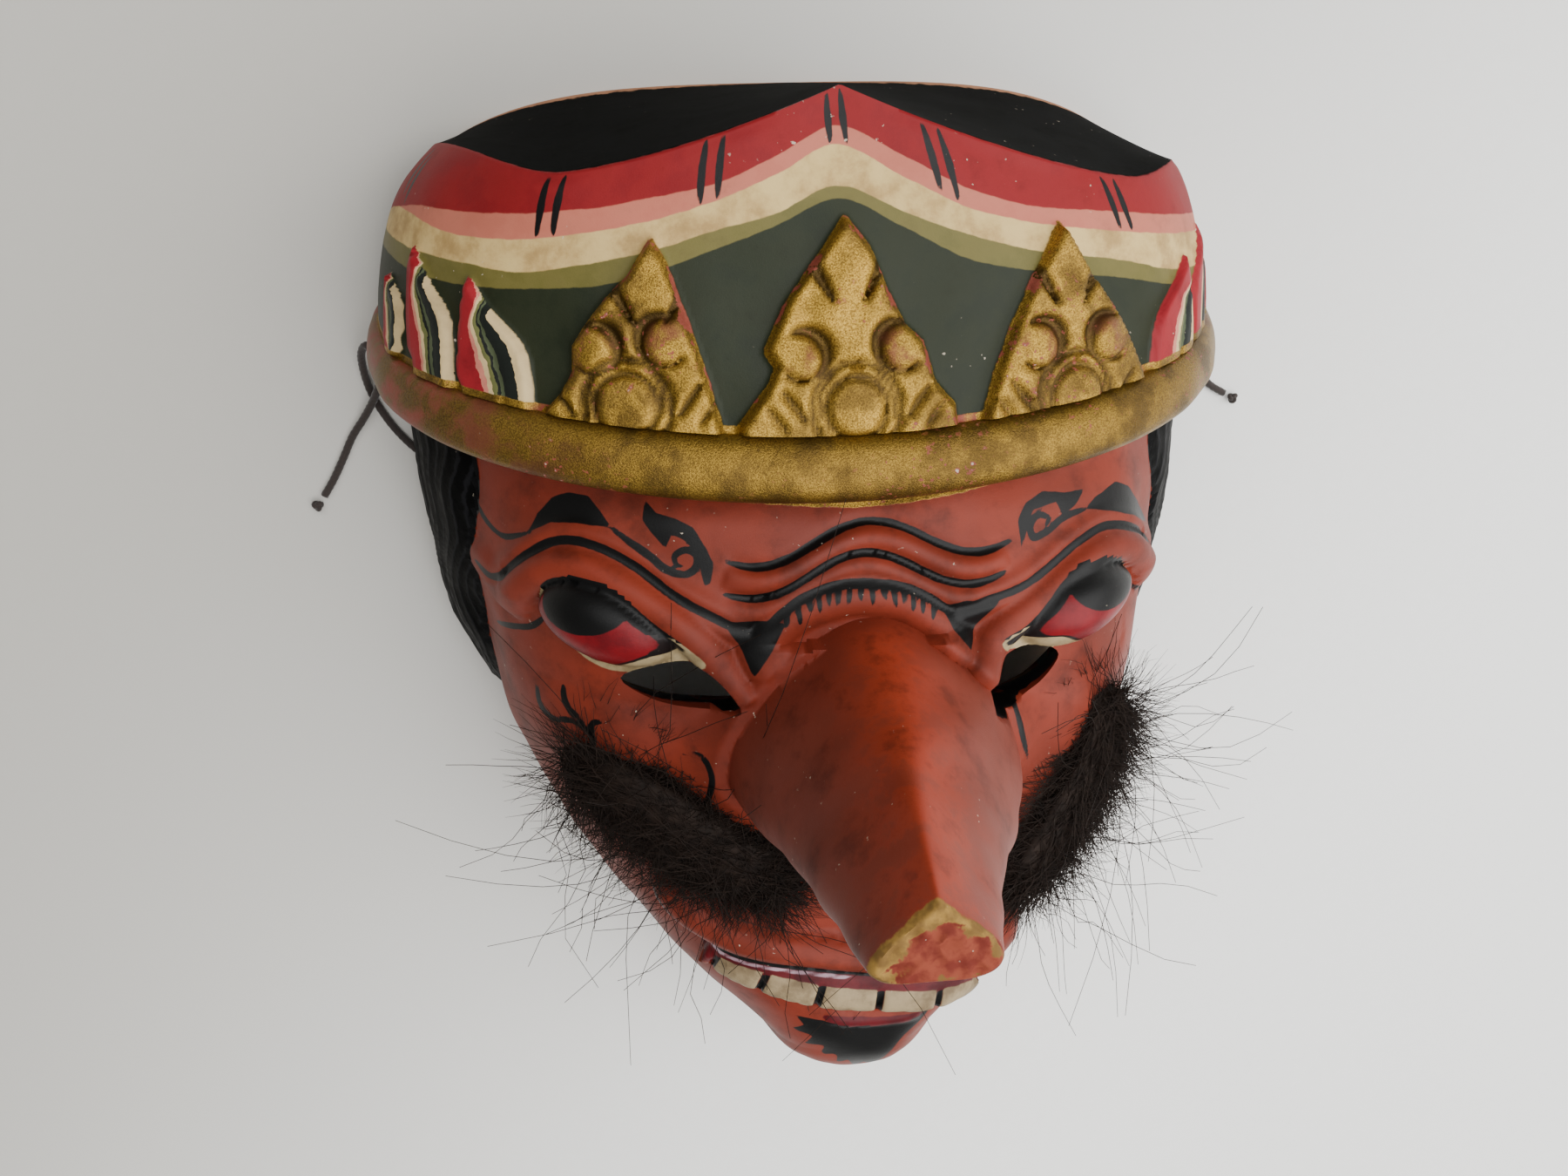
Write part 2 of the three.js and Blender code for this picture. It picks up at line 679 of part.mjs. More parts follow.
// Moustache: two pads of real hair glued beside and under the nose
const MOUSTACHES = {
  left: {
    spine: [[-47, -17], [-41, -24], [-32, -31], [-22, -38.5], [-12, -44]],
    halfWidth: profile([[0, 3], [0.25, 7.5], [0.6, 8.5], [0.85, 7], [1, 3.5]]),
  },
  right: {
    spine: [[47.5, -13.5], [48.5, -24], [45, -36], [38, -46.5], [31, -53.5]],
    halfWidth: profile([[0, 2.5], [0.3, 6.5], [0.6, 8], [0.85, 6.5], [1, 3.5]]),
  },
};
const PAD_THICKNESS = 6;

function moustache({ spine, halfWidth }) {
  const pad = plate({
    place: onFace,
    spine,
    halfWidth,
    proud: (u) => 1 + PAD_THICKNESS * Math.sqrt(Math.max(0, 1 - u * u)),
    sunk: -2 * GAP,
    rows: 10,
  });
  return pad.subtract(nose(2 * GAP)).subtract(upperLip(2 * GAP));
}

// Head thread: from the left hole out and under the arched rim, loosely across to the right hole
const STRAP_ROUTE = [
  [-81.4, 47.1, 8.2], [-82.9, 49.2, 7.7], [-84.4, 47.9, 5.8], [-85, 44.4, 3.1], [-84.5, 39.8, 1.2],
  [-82.6, 35.2, 0.9], [-79.8, 30.8, 0.9], [-76, 26.8, 0.9], [-69, 22, 0.9], [-58, 19, 0.9],
  [-46, 22, 0.9], [-36, 31, 0.9], [-24, 36, 0.9], [-13, 30, 0.9], [-10, 17, 0.9],
  [-14, 3, 0.9], [-12, -11, 0.9], [-1, -19, 0.9], [12, -15, 0.9], [19, -3, 0.9],
  [24, 9, 0.9], [34, 15, 0.9], [44, 20, 0.9], [50.5, 28, 0.9], [53.5, 37, 1.5],
  [55.5, 42.5, 4], [58.4, 45.3, 7.4], [62, 45.5, 8], [69, 45.5, 8], [77.4, 45.5, 8],
];
const LEFT_TAIL_ROUTE = [
  [-80.6, 43.7, 7.1], [-82.2, 40.8, 5.4], [-84, 37.8, 3.3], [-86.4, 34.4, 1.7], [-89, 31, 1],
  [-91.4, 26.6, 0.9], [-93.8, 22.4, 0.9], [-96, 19.2, 0.9],
];
const RIGHT_TAIL_ROUTE = [
  [81.4, 46.9, 7.4], [83.1, 49.3, 6.5], [84.7, 50.4, 4.3], [84.6, 47.8, 1.8], [84.3, 44.2, 0.9],
  [84.8, 40.4, 0.9], [86.6, 36.6, 0.9], [89.6, 33, 0.9], [93.2, 30.8, 0.9],
];
const KNOTS = {
  strap_knot_left: { at: [-79.6, HOLE.y, HOLE.z], size: 1.9 },
  strap_knot_right: { at: [79.6, HOLE.y, HOLE.z], size: 1.9 },
  tail_end_knot_left: { at: [-97.4, 17.4, 1.4], size: 1.3 },
  tail_end_knot_right: { at: [95, 29.8, 1.4], size: 1.3 },
};

function thread(route) {
  const points = route.map((p) => new THREE.Vector3(...p));
  const path = new THREE.CatmullRomCurve3(points, false, 'centripetal');
  const ring = Array.from({ length: THREAD_SIDES }, (_, i) => {
    const angle = (2 * Math.PI * i) / THREAD_SIDES;
    return new THREE.Vector2(Math.cos(angle), Math.sin(angle)).multiplyScalar(THREAD_D / 2);
  });
  const steps = Math.ceil(path.getLength() / (THREAD_D * 3));
  const shape = new THREE.Shape(ring);
  return solidOf(new THREE.ExtrudeGeometry(shape, { steps, bevelEnabled: false, extrudePath: path }));
}

function knot({ at, size }) {
  const geometry = new THREE.SphereGeometry(size, 8, 6);
  geometry.translate(...at);
  return solidOf(geometry);
}

const FINISHES = {
  paint: new THREE.MeshStandardMaterial({ color: 0xa8402a, roughness: 0.5, metalness: 0 }),
  hair: new THREE.MeshStandardMaterial({ color: 0x1c1714, roughness: 0.7, metalness: 0 }),
  thread: new THREE.MeshStandardMaterial({ color: 0x15120f, roughness: 0.8, metalness: 0 }),
};

function geometryOf(solid) {
  const { vertProperties, triVerts } = solid.getMesh();
  const geometry = new THREE.BufferGeometry();
  geometry.setAttribute('position', new THREE.BufferAttribute(vertProperties, 3));
  geometry.setIndex(new THREE.BufferAttribute(triVerts, 1));
  return geometry;
}

function part(name, solid, finish) {
  const geometry = geometryOf(solidOf(geometryOf(solid), FINEST_EDGE));
  geometry.computeVertexNormals();
  const mesh = new THREE.Mesh(geometry, FINISHES[finish]);
  mesh.name = name;
  return mesh;
}

const mask = new THREE.Group();
mask.add(part('mask', maskBody(), 'paint'));
Object.entries(MOUSTACHES).forEach(([side, shape]) => {
  mask.add(part(`moustache_${side}`, moustache(shape), 'hair'));
});
mask.add(part('strap', thread(STRAP_ROUTE), 'thread'));
mask.add(part('strap_tail_left', thread(LEFT_TAIL_ROUTE), 'thread'));
mask.add(part('strap_tail_right', thread(RIGHT_TAIL_ROUTE), 'thread'));
Object.entries(KNOTS).forEach(([name, shape]) => mask.add(part(name, knot(shape), 'thread')));

export default mask;
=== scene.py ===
"""A carved and painted wooden dance mask with a long nose, lying face up on a pale table.

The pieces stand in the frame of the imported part. The mask and the moustache are built in millimetres
and scaled to metres; the thread is given in metres.
"""

import math

import bpy
import numpy as np
from mathutils import Matrix, Vector, noise
from mathutils.kdtree import KDTree


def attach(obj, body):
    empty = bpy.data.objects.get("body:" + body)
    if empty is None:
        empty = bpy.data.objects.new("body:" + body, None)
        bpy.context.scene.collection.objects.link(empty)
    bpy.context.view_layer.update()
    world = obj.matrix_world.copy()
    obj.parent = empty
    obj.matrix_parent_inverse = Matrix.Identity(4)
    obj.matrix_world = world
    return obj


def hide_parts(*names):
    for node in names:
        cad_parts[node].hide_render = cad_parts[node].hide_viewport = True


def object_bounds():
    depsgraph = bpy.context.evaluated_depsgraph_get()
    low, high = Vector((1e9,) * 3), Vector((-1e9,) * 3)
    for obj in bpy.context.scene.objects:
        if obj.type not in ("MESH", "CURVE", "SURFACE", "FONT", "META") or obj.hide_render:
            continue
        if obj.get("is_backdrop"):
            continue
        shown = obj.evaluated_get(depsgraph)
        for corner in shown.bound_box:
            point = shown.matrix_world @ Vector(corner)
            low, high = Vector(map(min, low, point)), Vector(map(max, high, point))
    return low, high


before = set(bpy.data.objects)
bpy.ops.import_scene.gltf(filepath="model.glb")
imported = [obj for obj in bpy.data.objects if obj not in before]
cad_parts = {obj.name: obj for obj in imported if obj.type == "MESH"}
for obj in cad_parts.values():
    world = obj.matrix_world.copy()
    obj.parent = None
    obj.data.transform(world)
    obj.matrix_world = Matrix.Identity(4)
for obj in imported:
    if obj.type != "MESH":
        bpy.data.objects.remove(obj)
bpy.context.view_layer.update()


# Camera
# It stands over the brow and looks a little toward the crown, as the photograph was taken.
CAMERA_AT = (-0.035977, 0.073523, 0.259795)
CAMERA_RIGHT = (0.99076, -0.02855, 0.1326)
CAMERA_UP = (0.06597, 0.95561, -0.28717)
CAMERA_BACK = (-0.11851, 0.29326, 0.94866)
CAMERA_LENS = 29.1
CAMERA_SENSOR = 36

camera_data = bpy.data.cameras.new("camera")
camera_data.lens = CAMERA_LENS
camera_data.sensor_width = CAMERA_SENSOR
camera_data.clip_start = 0.01
camera = bpy.data.objects.new("camera", camera_data)
bpy.context.scene.collection.objects.link(camera)
bpy.context.scene.camera = camera
turn = Matrix((CAMERA_RIGHT, CAMERA_UP, CAMERA_BACK)).transposed().to_4x4()
camera.matrix_world = Matrix.Translation(Vector(CAMERA_AT)) @ turn


# Head thread
# A black cotton thread of three plies with a knot outside each temple and at the end of each cut tail.
# It enters under the arched rim on the left, crosses the hollow loosely and leaves by the right hole.
# The left hole is empty here, and the tails' end knots stand about 1 mm clear of the tails.
THREAD_DIAMETER = 0.0016
THREAD_PITCH = 0.0034
PLY_VALLEY = 0.74
PLY_SWELL = 0.28
KNOT_SPREAD = 0.62
KNOT_STRAND = 0.38
STRAP_ROUTE = (
    (-0.0814, 0.0471, 0.0082), (-0.0829, 0.0492, 0.0077), (-0.0844, 0.0479, 0.0058),
    (-0.085, 0.0444, 0.0031), (-0.0845, 0.0398, 0.0012), (-0.0826, 0.0352, 0.0009),
    (-0.0798, 0.0308, 0.0009), (-0.076, 0.0268, 0.0009), (-0.069, 0.022, 0.0009),
    (-0.058, 0.019, 0.0009), (-0.046, 0.022, 0.0009), (-0.036, 0.031, 0.0009),
    (-0.024, 0.036, 0.0009), (-0.013, 0.03, 0.0009), (-0.01, 0.017, 0.0009),
    (-0.014, 0.003, 0.0009), (-0.012, -0.011, 0.0009), (-0.001, -0.019, 0.0009),
    (0.012, -0.015, 0.0009), (0.019, -0.003, 0.0009), (0.024, 0.009, 0.0009),
    (0.034, 0.015, 0.0009), (0.044, 0.02, 0.0009), (0.0505, 0.028, 0.0009),
    (0.0535, 0.037, 0.0015), (0.0555, 0.0425, 0.004), (0.0584, 0.0453, 0.0074),
    (0.062, 0.0455, 0.008), (0.069, 0.0455, 0.008), (0.0774, 0.0455, 0.008),
)
LEFT_TAIL_ROUTE = (
    (-0.0806, 0.0437, 0.0071), (-0.0822, 0.0408, 0.0054), (-0.084, 0.0378, 0.0033),
    (-0.0864, 0.0344, 0.0017), (-0.089, 0.031, 0.001), (-0.0914, 0.0266, 0.0009),
    (-0.0938, 0.0224, 0.0009), (-0.096, 0.0192, 0.0009),
)
RIGHT_TAIL_ROUTE = (
    (0.0814, 0.0469, 0.0074), (0.0831, 0.0493, 0.0065), (0.0847, 0.0504, 0.0043),
    (0.0846, 0.0478, 0.0018), (0.0843, 0.0442, 0.0009), (0.0848, 0.0404, 0.0009),
    (0.0866, 0.0366, 0.0009), (0.0896, 0.033, 0.0009), (0.0932, 0.0308, 0.0009),
)
KNOTS = {
    "strap_knot_left": ((-0.0796, 0.0455, 0.008), 0.0019),
    "strap_knot_right": ((0.0796, 0.0455, 0.008), 0.0019),
    "tail_end_knot_left": ((-0.0974, 0.0174, 0.0014), 0.0013),
    "tail_end_knot_right": ((0.095, 0.0298, 0.0014), 0.0013),
}


def smooth_path(points, per_span):
    """Centripetal Catmull-Rom curve through points of any dimension"""
    points = np.array(points, float)
    points = np.concatenate([[2 * points[0] - points[1]], points, [2 * points[-1] - points[-2]]])
    out = []
    for i in range(1, len(points) - 2):
        a, b, c, d = points[i - 1:i + 3]
        before, span, after = (
            max(1e-9, np.linalg.norm(q - p)) ** 0.5 for p, q in ((a, b), (b, c), (c, d)))
        start = ((b - a) / before - (c - a) / (before + span) + (c - b) / span) * span
        end = ((c - b) / span - (d - b) / (span + after) + (d - c) / after) * span
        for t in np.arange(per_span) / per_span:
            square = (3 * (c - b) - 2 * start - end) * t * t
            cube = (2 * (b - c) + start + end) * t ** 3
            out.append(b + start * t + square + cube)
    out.append(points[-2])
    return np.array(out)


def length_of(path):
    return float(np.linalg.norm(np.diff(path, axis=0), axis=1).sum())


def marks_along(path):
    """Length from the path's start to each of its points"""
    return np.concatenate([[0], np.cumsum(np.linalg.norm(np.diff(path, axis=0), axis=1))])


def even_path(path, step, closed=False):
    """The same path in equal steps"""
    if closed:
        path = np.concatenate([path, path[:1]])
    marks = marks_along(path)
    count = max(3, int(round(marks[-1] / step)))
    places = np.linspace(0, marks[-1], count + 1)
    even = np.stack([np.interp(places, marks, path[:, axis]) for axis in range(3)], axis=1)
    return even[:-1] if closed else even


def link_mesh(name, points, faces, materials=(), smooth=True):
    mesh = bpy.data.meshes.new(name)
    mesh.from_pydata(np.asarray(points).tolist(), [], faces)
    mesh.update()
    for material in materials:
        mesh.materials.append(material)
    mesh.polygons.foreach_set("use_smooth", [smooth] * len(mesh.polygons))
    made = bpy.data.objects.new(name, mesh)
    bpy.context.scene.collection.objects.link(made)
    return made


def ring_faces(rings, size, closed=False):
    """Quads between neighbouring rings of points, and from the last ring to the first if closed"""
    faces = []
    for k in range(rings if closed else rings - 1):
        low = k * size
        high = ((k + 1) % rings) * size
        for i in range(size):
            j = (i + 1) % size
            faces.append((low + i, low + j, high + j, high + i))
    return faces


def around(count):
    """Angles of a full turn in equal steps"""
    return 2 * np.pi * np.arange(count) / count


def twisted_tube(name, path, radius, pitch, material, sides=12, step=0.00045, closed=False):
    """Tube of three plies that turn around its line"""
    path = even_path(path, step, closed)
    count = len(path)
    if closed:
        along = np.roll(path, -1, axis=0) - np.roll(path, 1, axis=0)
    else:
        along = np.gradient(path, axis=0)
    along /= np.linalg.norm(along, axis=1)[:, None]
    side = np.cross(along[0], (0.3, 0.2, 1.0))
    ring_angles = around(sides)
    turns = round(count * step / pitch)
    points = []
    for k in range(count):
        side = side - along[k] * side.dot(along[k])
        side /= np.linalg.norm(side)
        up = np.cross(along[k], side)
        twist = 2 * np.pi * turns * k / count
        plies = np.abs(np.cos(1.5 * (ring_angles - twist)))
        reach = radius * (PLY_VALLEY + PLY_SWELL * plies ** 0.6)
        across = np.outer(reach * np.cos(ring_angles), side)
        points.extend(path[k] + across + np.outer(reach * np.sin(ring_angles), up))
    faces = ring_faces(count, sides, closed)
    if not closed:
        faces.append(tuple(range(sides))[::-1])
        faces.append(tuple(range((count - 1) * sides, count * sides)))
    return link_mesh(name, points, faces, [material])


def srgb(red, green, blue):
    """Colour as seen on a screen, 0 to 255, turned into light"""
    parts = [c / 255 for c in (red, green, blue)]
    return tuple(c / 12.92 if c <= 0.04045 else ((c + 0.055) / 1.055) ** 2.4 for c in parts) + (1.0,)


def add(tree, kind, inputs, **settings):
    """New node with its settings and inputs; an input is a number, a colour or another node's output"""
    node = tree.nodes.new("ShaderNode" + kind)
    for key, value in settings.items():
        setattr(node, key, value)
    for key, value in inputs.items():
        if isinstance(value, bpy.types.NodeSocket):
            tree.links.new(value, node.inputs[key])
        else:
            node.inputs[key].default_value = value
    return node


def grain(tree, where, scale, detail=3.0, roughness=0.55):
    """Fine uneven pattern, 0 to 1"""
    inputs = {"Vector": where, "Scale": scale, "Detail": detail, "Roughness": roughness}
    return add(tree, "TexNoise", inputs).outputs["Fac"]


def ramp_to(tree, value, low, high, out_low=0.0, out_high=1.0):
    """Value eased from one range into another"""
    inputs = {"Value": value, 1: low, 2: high, 3: out_low, 4: out_high}
    return add(tree, "MapRange", inputs, interpolation_type="SMOOTHSTEP").outputs["Result"]


def blend(tree, share, first, second, mode="MIX"):
    made = add(tree, "Mix", {0: share, 6: first, 7: second}, data_type="RGBA", blend_type=mode)
    return made.outputs[2]


def calc(tree, operation, *values):
    made = add(tree, "Math", dict(enumerate(values)), operation=operation)
    return made.outputs[0]


def new_material(name):
    material = bpy.data.materials.new(name)
    material.use_nodes = True
    tree = material.node_tree
    tree.nodes.clear()
    where = add(tree, "TexCoord", {}).outputs["Object"]
    return material, tree, where


def finish_material(tree, surface, bump=None, strength=0.4, distance=0.0002):
    if bump is not None:
        bumped = add(tree, "Bump", {"Height": bump, "Strength": strength, "Distance": distance})
        tree.links.new(bumped.outputs["Normal"], surface.inputs["Normal"])
    output = add(tree, "OutputMaterial", {})
    tree.links.new(surface.outputs[0], output.inputs["Surface"])


thread_material, tree, where = new_material("black_thread")
fibre = grain(tree, where, 2600, 4.0, 0.7)
thread_colour = blend(tree, fibre, srgb(14, 11, 10), srgb(58, 46, 40))
surface = add(
    tree, "BsdfPrincipled",
    {"Base Color": thread_colour, "Roughness": 0.85, "Sheen Weight": 0.25, "Sheen Roughness": 0.5})
finish_material(tree, surface, fibre, 0.6, 0.0001)

knots = {}
for name, (middle, size) in KNOTS.items():
    loops = np.linspace(0, 2 * np.pi, 120, endpoint=False)
    trefoil = np.stack([
        np.sin(loops) + 2 * np.sin(2 * loops),
        np.cos(loops) - 2 * np.cos(2 * loops),
        -1.3 * np.sin(3 * loops),
    ], axis=1) / 3
    line = np.array(middle) + trefoil * size * KNOT_SPREAD
    knots[name] = twisted_tube(
        name, line, size * KNOT_STRAND, THREAD_PITCH * 0.6, thread_material, 8, 0.0003, closed=True)
    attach(knots[name], "root")
    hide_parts(name)

for name, route, far_end, pieces_on_it in (
    ("strap", STRAP_ROUTE, "object", ("strap_knot_left", "strap_knot_right")),
    ("strap_tail_left", LEFT_TAIL_ROUTE, "knot", ("tail_end_knot_left",)),
    ("strap_tail_right", RIGHT_TAIL_ROUTE, "knot", ("tail_end_knot_right",)),
):
    line = smooth_path(route, 8)
    cord = twisted_tube(name, line, THREAD_DIAMETER / 2, THREAD_PITCH, thread_material)
    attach(cord, "root")
    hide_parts(name)


# Carved mask
# One block of light wood, hollowed from behind with a gouge and carved in front.
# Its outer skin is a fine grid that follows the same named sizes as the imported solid.
CHIN_Y = -95
TOP_Y = 95
CHIN_ROUND = 9
CHIN_HALF_WIDTH = 22
CHIN_LEAN = 2.5
FACE_HALF_WIDTHS = (
    (-86, 22), (-79, 29.5), (-67.5, 40), (-54.5, 49), (-40, 57),
    (-30, 61), (-21, 63.5), (0, 66.5), (20, 68.5), (56, 70),
)
FACE_DEPTHS = (
    (-95, 42), (-92, 49), (-86, 53), (-75, 55.5), (-60, 56), (-45, 57),
    (-30, 59.5), (-10, 62), (10, 63), (22, 61), (30, 58), (56, 57),
)
FACE_SQUARENESS = 2.7
CROWN_HALF_WIDTH = {"left": 80, "right": 77.5}
CROWN_SHOULDER_Y = 40
CROWN_SHOULDER_POWER = 3.5
CROWN_DEPTH = 64
CROWN_DEPTH_LOSS = 6
CROWN_SQUARENESS = 2.6
RIDGE_PEAK_Y = 89.8
# valley X and Y, corner X and Y of the scalloped front edge, left and right of the peak
SCALLOPS = {"left": (43, 78.3, 66, 84.5), "right": (51, 75.3, 68, 78.5)}
BAND_FRONT_Y = 32.3
BAND_RISE = 22
BAND_RISE_POWER = 0.68
BAND_HALF_HEIGHT = (3.4, 5.4)
BAND_PROUD = (1.5, 4.0)
RIM_ARCH = {"from_y": -62, "to_y": 48, "lift": 4, "fade_z": 30}
WALL = 7.5
FACE_INSET = 8.6
CROWN_INSET = 10.1
RIM_NARROWING = 0.97


def ease(value, start, end):
    t = np.clip((np.asarray(value, float) - start) / (end - start), 0, 1)
    return t * t * (3 - 2 * t)


def profile(pairs):
    """Smooth curve through (place, size) pairs, without overshoot between them"""
    place, size = (np.array(column, float) for column in zip(*pairs))
    width = np.diff(place)
    rise = np.diff(size) / width
    slope = np.concatenate([[rise[0]], np.zeros(len(rise) - 1), [rise[-1]]])
    for i in range(1, len(rise)):
        if rise[i - 1] * rise[i] > 0:
            before = 2 * width[i] + width[i - 1]
            after = width[i] + 2 * width[i - 1]
            slope[i] = (before + after) / (before / rise[i - 1] + after / rise[i])

    def at(value):
        inside = np.clip(np.asarray(value, float), place[0], place[-1])
        i = np.clip(np.searchsorted(place, inside) - 1, 0, len(width) - 1)
        t = (inside - place[i]) / width[i]
        eased = t * t * (3 - 2 * t)
        bend = width[i] * (slope[i] * t * (1 - t) ** 2 - slope[i + 1] * t * t * (1 - t))
        return size[i] * (1 - eased) + size[i + 1] * eased + bend

    return at


face_width_at = profile(FACE_HALF_WIDTHS)
face_depth = profile(FACE_DEPTHS)


def face_half_width(y):
    t = np.clip((CHIN_Y + CHIN_ROUND - y) / CHIN_ROUND, 0, 1)
    return np.where(y < CHIN_Y + CHIN_ROUND, CHIN_HALF_WIDTH * np.sqrt(1 - t * t), face_width_at(y))


def shoulder(t):
    return (1 - np.clip(t, 0, 1) ** CROWN_SHOULDER_POWER) ** (1 / CROWN_SHOULDER_POWER)


def crown_side_width(x):
    return np.where(x < 0, CROWN_HALF_WIDTH["left"], CROWN_HALF_WIDTH["right"])


def back_rim_y(x):
    return CROWN_SHOULDER_Y + (TOP_Y - CROWN_SHOULDER_Y) * shoulder(np.abs(x) / crown_side_width(x))


def section(angle, squareness):
    cosine = np.cos(angle)
    across = -np.sign(cosine) * np.abs(cosine) ** (2 / squareness)
    return across, np.abs(np.sin(angle)) ** (2 / squareness)


def chin_lean(y):
    return CHIN_LEAN * ease(-np.asarray(y, float), -20, 80)


def lifted(y, z):
    t = np.clip((y - RIM_ARCH["from_y"]) / (RIM_ARCH["to_y"] - RIM_ARCH["from_y"]), 0, 1)
    fade = np.clip(1 - z / RIM_ARCH["fade_z"], 0, 1)
    return z + RIM_ARCH["lift"] * np.sin(np.pi * t) * fade ** 2


def face_point(angle, y, inset=0.0):
    across, out = section(angle, FACE_SQUARENESS)
    y = np.broadcast_to(np.asarray(y, float), across.shape)
    x = (face_half_width(y) - inset) * across + chin_lean(y)
    return np.stack([x, y, (face_depth(y) - inset) * out], axis=-1)


def crown_half_width(across, y):
    return crown_side_width(across) * shoulder((y - CROWN_SHOULDER_Y) / (TOP_Y - CROWN_SHOULDER_Y))


def crown_point(angle, y, inset=0.0):
    across, out = section(angle, CROWN_SQUARENESS)
    y = np.broadcast_to(np.asarray(y, float), across.shape)
    half = crown_half_width(across, y)
    depth = CROWN_DEPTH - CROWN_DEPTH_LOSS * ease(y, 30, TOP_Y)
    return np.stack([(half - inset) * across, y, (depth - inset) * out], axis=-1)


def band_y(angle):
    return BAND_FRONT_Y + BAND_RISE * (1 - section(angle, CROWN_SQUARENESS)[1]) ** BAND_RISE_POWER


def band_size(sizes, angle):
    return sizes[0] + (sizes[1] - sizes[0]) * section(angle, CROWN_SQUARENESS)[1]


def ridge_line_y(x):
    lines = []
    for valley_x, valley_y, corner_x, corner_y in (SCALLOPS["left"], SCALLOPS["right"]):
        away = np.abs(x)
        inner = valley_y + (RIDGE_PEAK_Y - valley_y) * np.clip(1 - away / valley_x, 0, 1) ** 1.5
        outer = valley_y + (corner_y - valley_y) * ease(away, valley_x, corner_x)
        lines.append(np.where(away < valley_x, inner, outer))
    return np.where(x < 0, lines[0], lines[1])


def ridge_y(angle):
    inside = np.clip(angle, 0.03, np.pi - 0.03)
    low = np.full_like(inside, 45.0)
    high = np.full_like(inside, TOP_Y - 0.01)
    for _ in range(40):
        middle = (low + high) / 2
        x = crown_point(inside, middle)[:, 0]
        below = middle < np.minimum(ridge_line_y(x), back_rim_y(x) - 0.3)
        low = np.where(below, middle, low)
        high = np.where(below, high, middle)
    return (low + high) / 2


def crown_outward(angle, y):
    across, out = section(angle, CROWN_SQUARENESS)
    half = crown_half_width(across, y)
    x = np.sign(across) * np.abs(across) ** (CROWN_SQUARENESS - 1) / half
    z = out ** (CROWN_SQUARENESS - 1) / CROWN_DEPTH
    away = np.stack([x, 0 * x, z], axis=-1)
    return away / np.linalg.norm(away, axis=-1)[:, None]


def paced(start, end, places):
    """Places from start to end whose spacing follows (place, spacing) pairs"""
    spacing = profile(places)
    out = [start]
    while out[-1] < end:
        out.append(out[-1] + float(spacing(out[-1])))
    out = np.array(out)
    return start + (out - start) * (end - start) / (out[-1] - start)


# Columns of the grid, by their length along the crown's section from its front line
fine_angles = np.linspace(0, np.pi, 4001)
crown_section = crown_point(fine_angles, 50.0)
arc = marks_along(crown_section)
arc -= np.interp(np.pi / 2, fine_angles, arc)
COLUMN_SPACING = ((-116, 1.3), (-75, 1.2), (-62, 0.62), (62, 0.62), (75, 1.2), (114, 1.3))
column_s = paced(arc[0], arc[-1], COLUMN_SPACING)
columns = np.interp(column_s, arc, fine_angles)

face_start = CHIN_Y + CHIN_ROUND
band_low = band_y(columns) - band_size(BAND_HALF_HEIGHT, columns)
band_high = band_y(columns) + band_size(BAND_HALF_HEIGHT, columns)
ridge = ridge_y(columns)

chin_rows = [
    face_point(columns, CHIN_Y + CHIN_ROUND * (1 - math.cos(t * math.pi / 2)))
    for t in (0.07, 0.2, 0.34, 0.48, 0.62, 0.76, 0.9)]
FACE_END_Y = 26.9
FACE_ROW_SPACING = ((-86, 0.8), (-60, 0.75), (-52, 1.1), (-16, 1.0), (-10, 0.6), (27, 0.55))
face_places = paced(face_start, FACE_END_Y, FACE_ROW_SPACING)
face_rows = [
    face_point(columns, face_start + (band_low - face_start) * (y - face_start) / (FACE_END_Y - face_start))
    for y in face_places]
wall_shares = np.linspace(0, 1, 84)
wall_rows = [crown_point(columns, band_high + (ridge - band_high) * t) for t in wall_shares]

face_grid = np.array(chin_rows + face_rows)
face_grid[..., 2] = lifted(face_grid[..., 1], face_grid[..., 2])
wall_grid = np.array(wall_rows)
face_chart = face_grid[..., :2].copy()
wall_chart = np.stack([np.broadcast_to(column_s, wall_grid.shape[:2]), wall_grid[..., 1]], axis=-1)


def to_line(places, line):
    """Distance of each place to a line, how far along it lies (0 to 1), and on which side"""
    line = np.asarray(line, float)
    total = length_of(line)
    nearest = np.full(len(places), np.inf)
    along = np.zeros(len(places))
    side = np.zeros(len(places))
    done = 0.0
    for a, b in zip(line[:-1], line[1:]):
        step = b - a
        size = np.linalg.norm(step)
        offset = places - a
        t = np.clip(offset @ step / size ** 2, 0, 1)
        apart = np.linalg.norm(offset - t[:, None] * step, axis=1)
        closer = apart < nearest
        nearest = np.where(closer, apart, nearest)
        along = np.where(closer, (done + t * size) / total, along)
        side = np.where(closer, np.sign(step[0] * offset[:, 1] - step[1] * offset[:, 0]), side)
        done += size
    return nearest, along, side


def in_outline(places, outline):
    """Distance to an outline, positive inside it"""
    outline = np.asarray(outline, float)
    closed = np.concatenate([outline, outline[:1]])
    inside = np.zeros(len(places), bool)
    for a, b in zip(closed[:-1], closed[1:]):
        crosses = (a[1] > places[:, 1]) != (b[1] > places[:, 1])
        rise = b[1] - a[1] if b[1] != a[1] else 1e-9
        at_x = a[0] + (places[:, 1] - a[1]) * (b[0] - a[0]) / rise
        inside ^= crosses & (places[:, 0] < at_x)
    apart = to_line(places, closed)[0]
    return np.where(inside, apart, -apart)


def rounded(outline, per_span=4):
    """Outline with soft corners"""
    ring = np.concatenate([outline[-2:], outline, outline[:3]])
    smooth = smooth_path(ring, per_span)
    return smooth[2 * per_span:(len(outline) + 2) * per_span]


def wave(mean, swing, middle, period, start, end):
    x = np.linspace(start, end, 40)
    return np.stack([x, mean + swing * np.cos(2 * np.pi * (x - middle) / period)], axis=1)


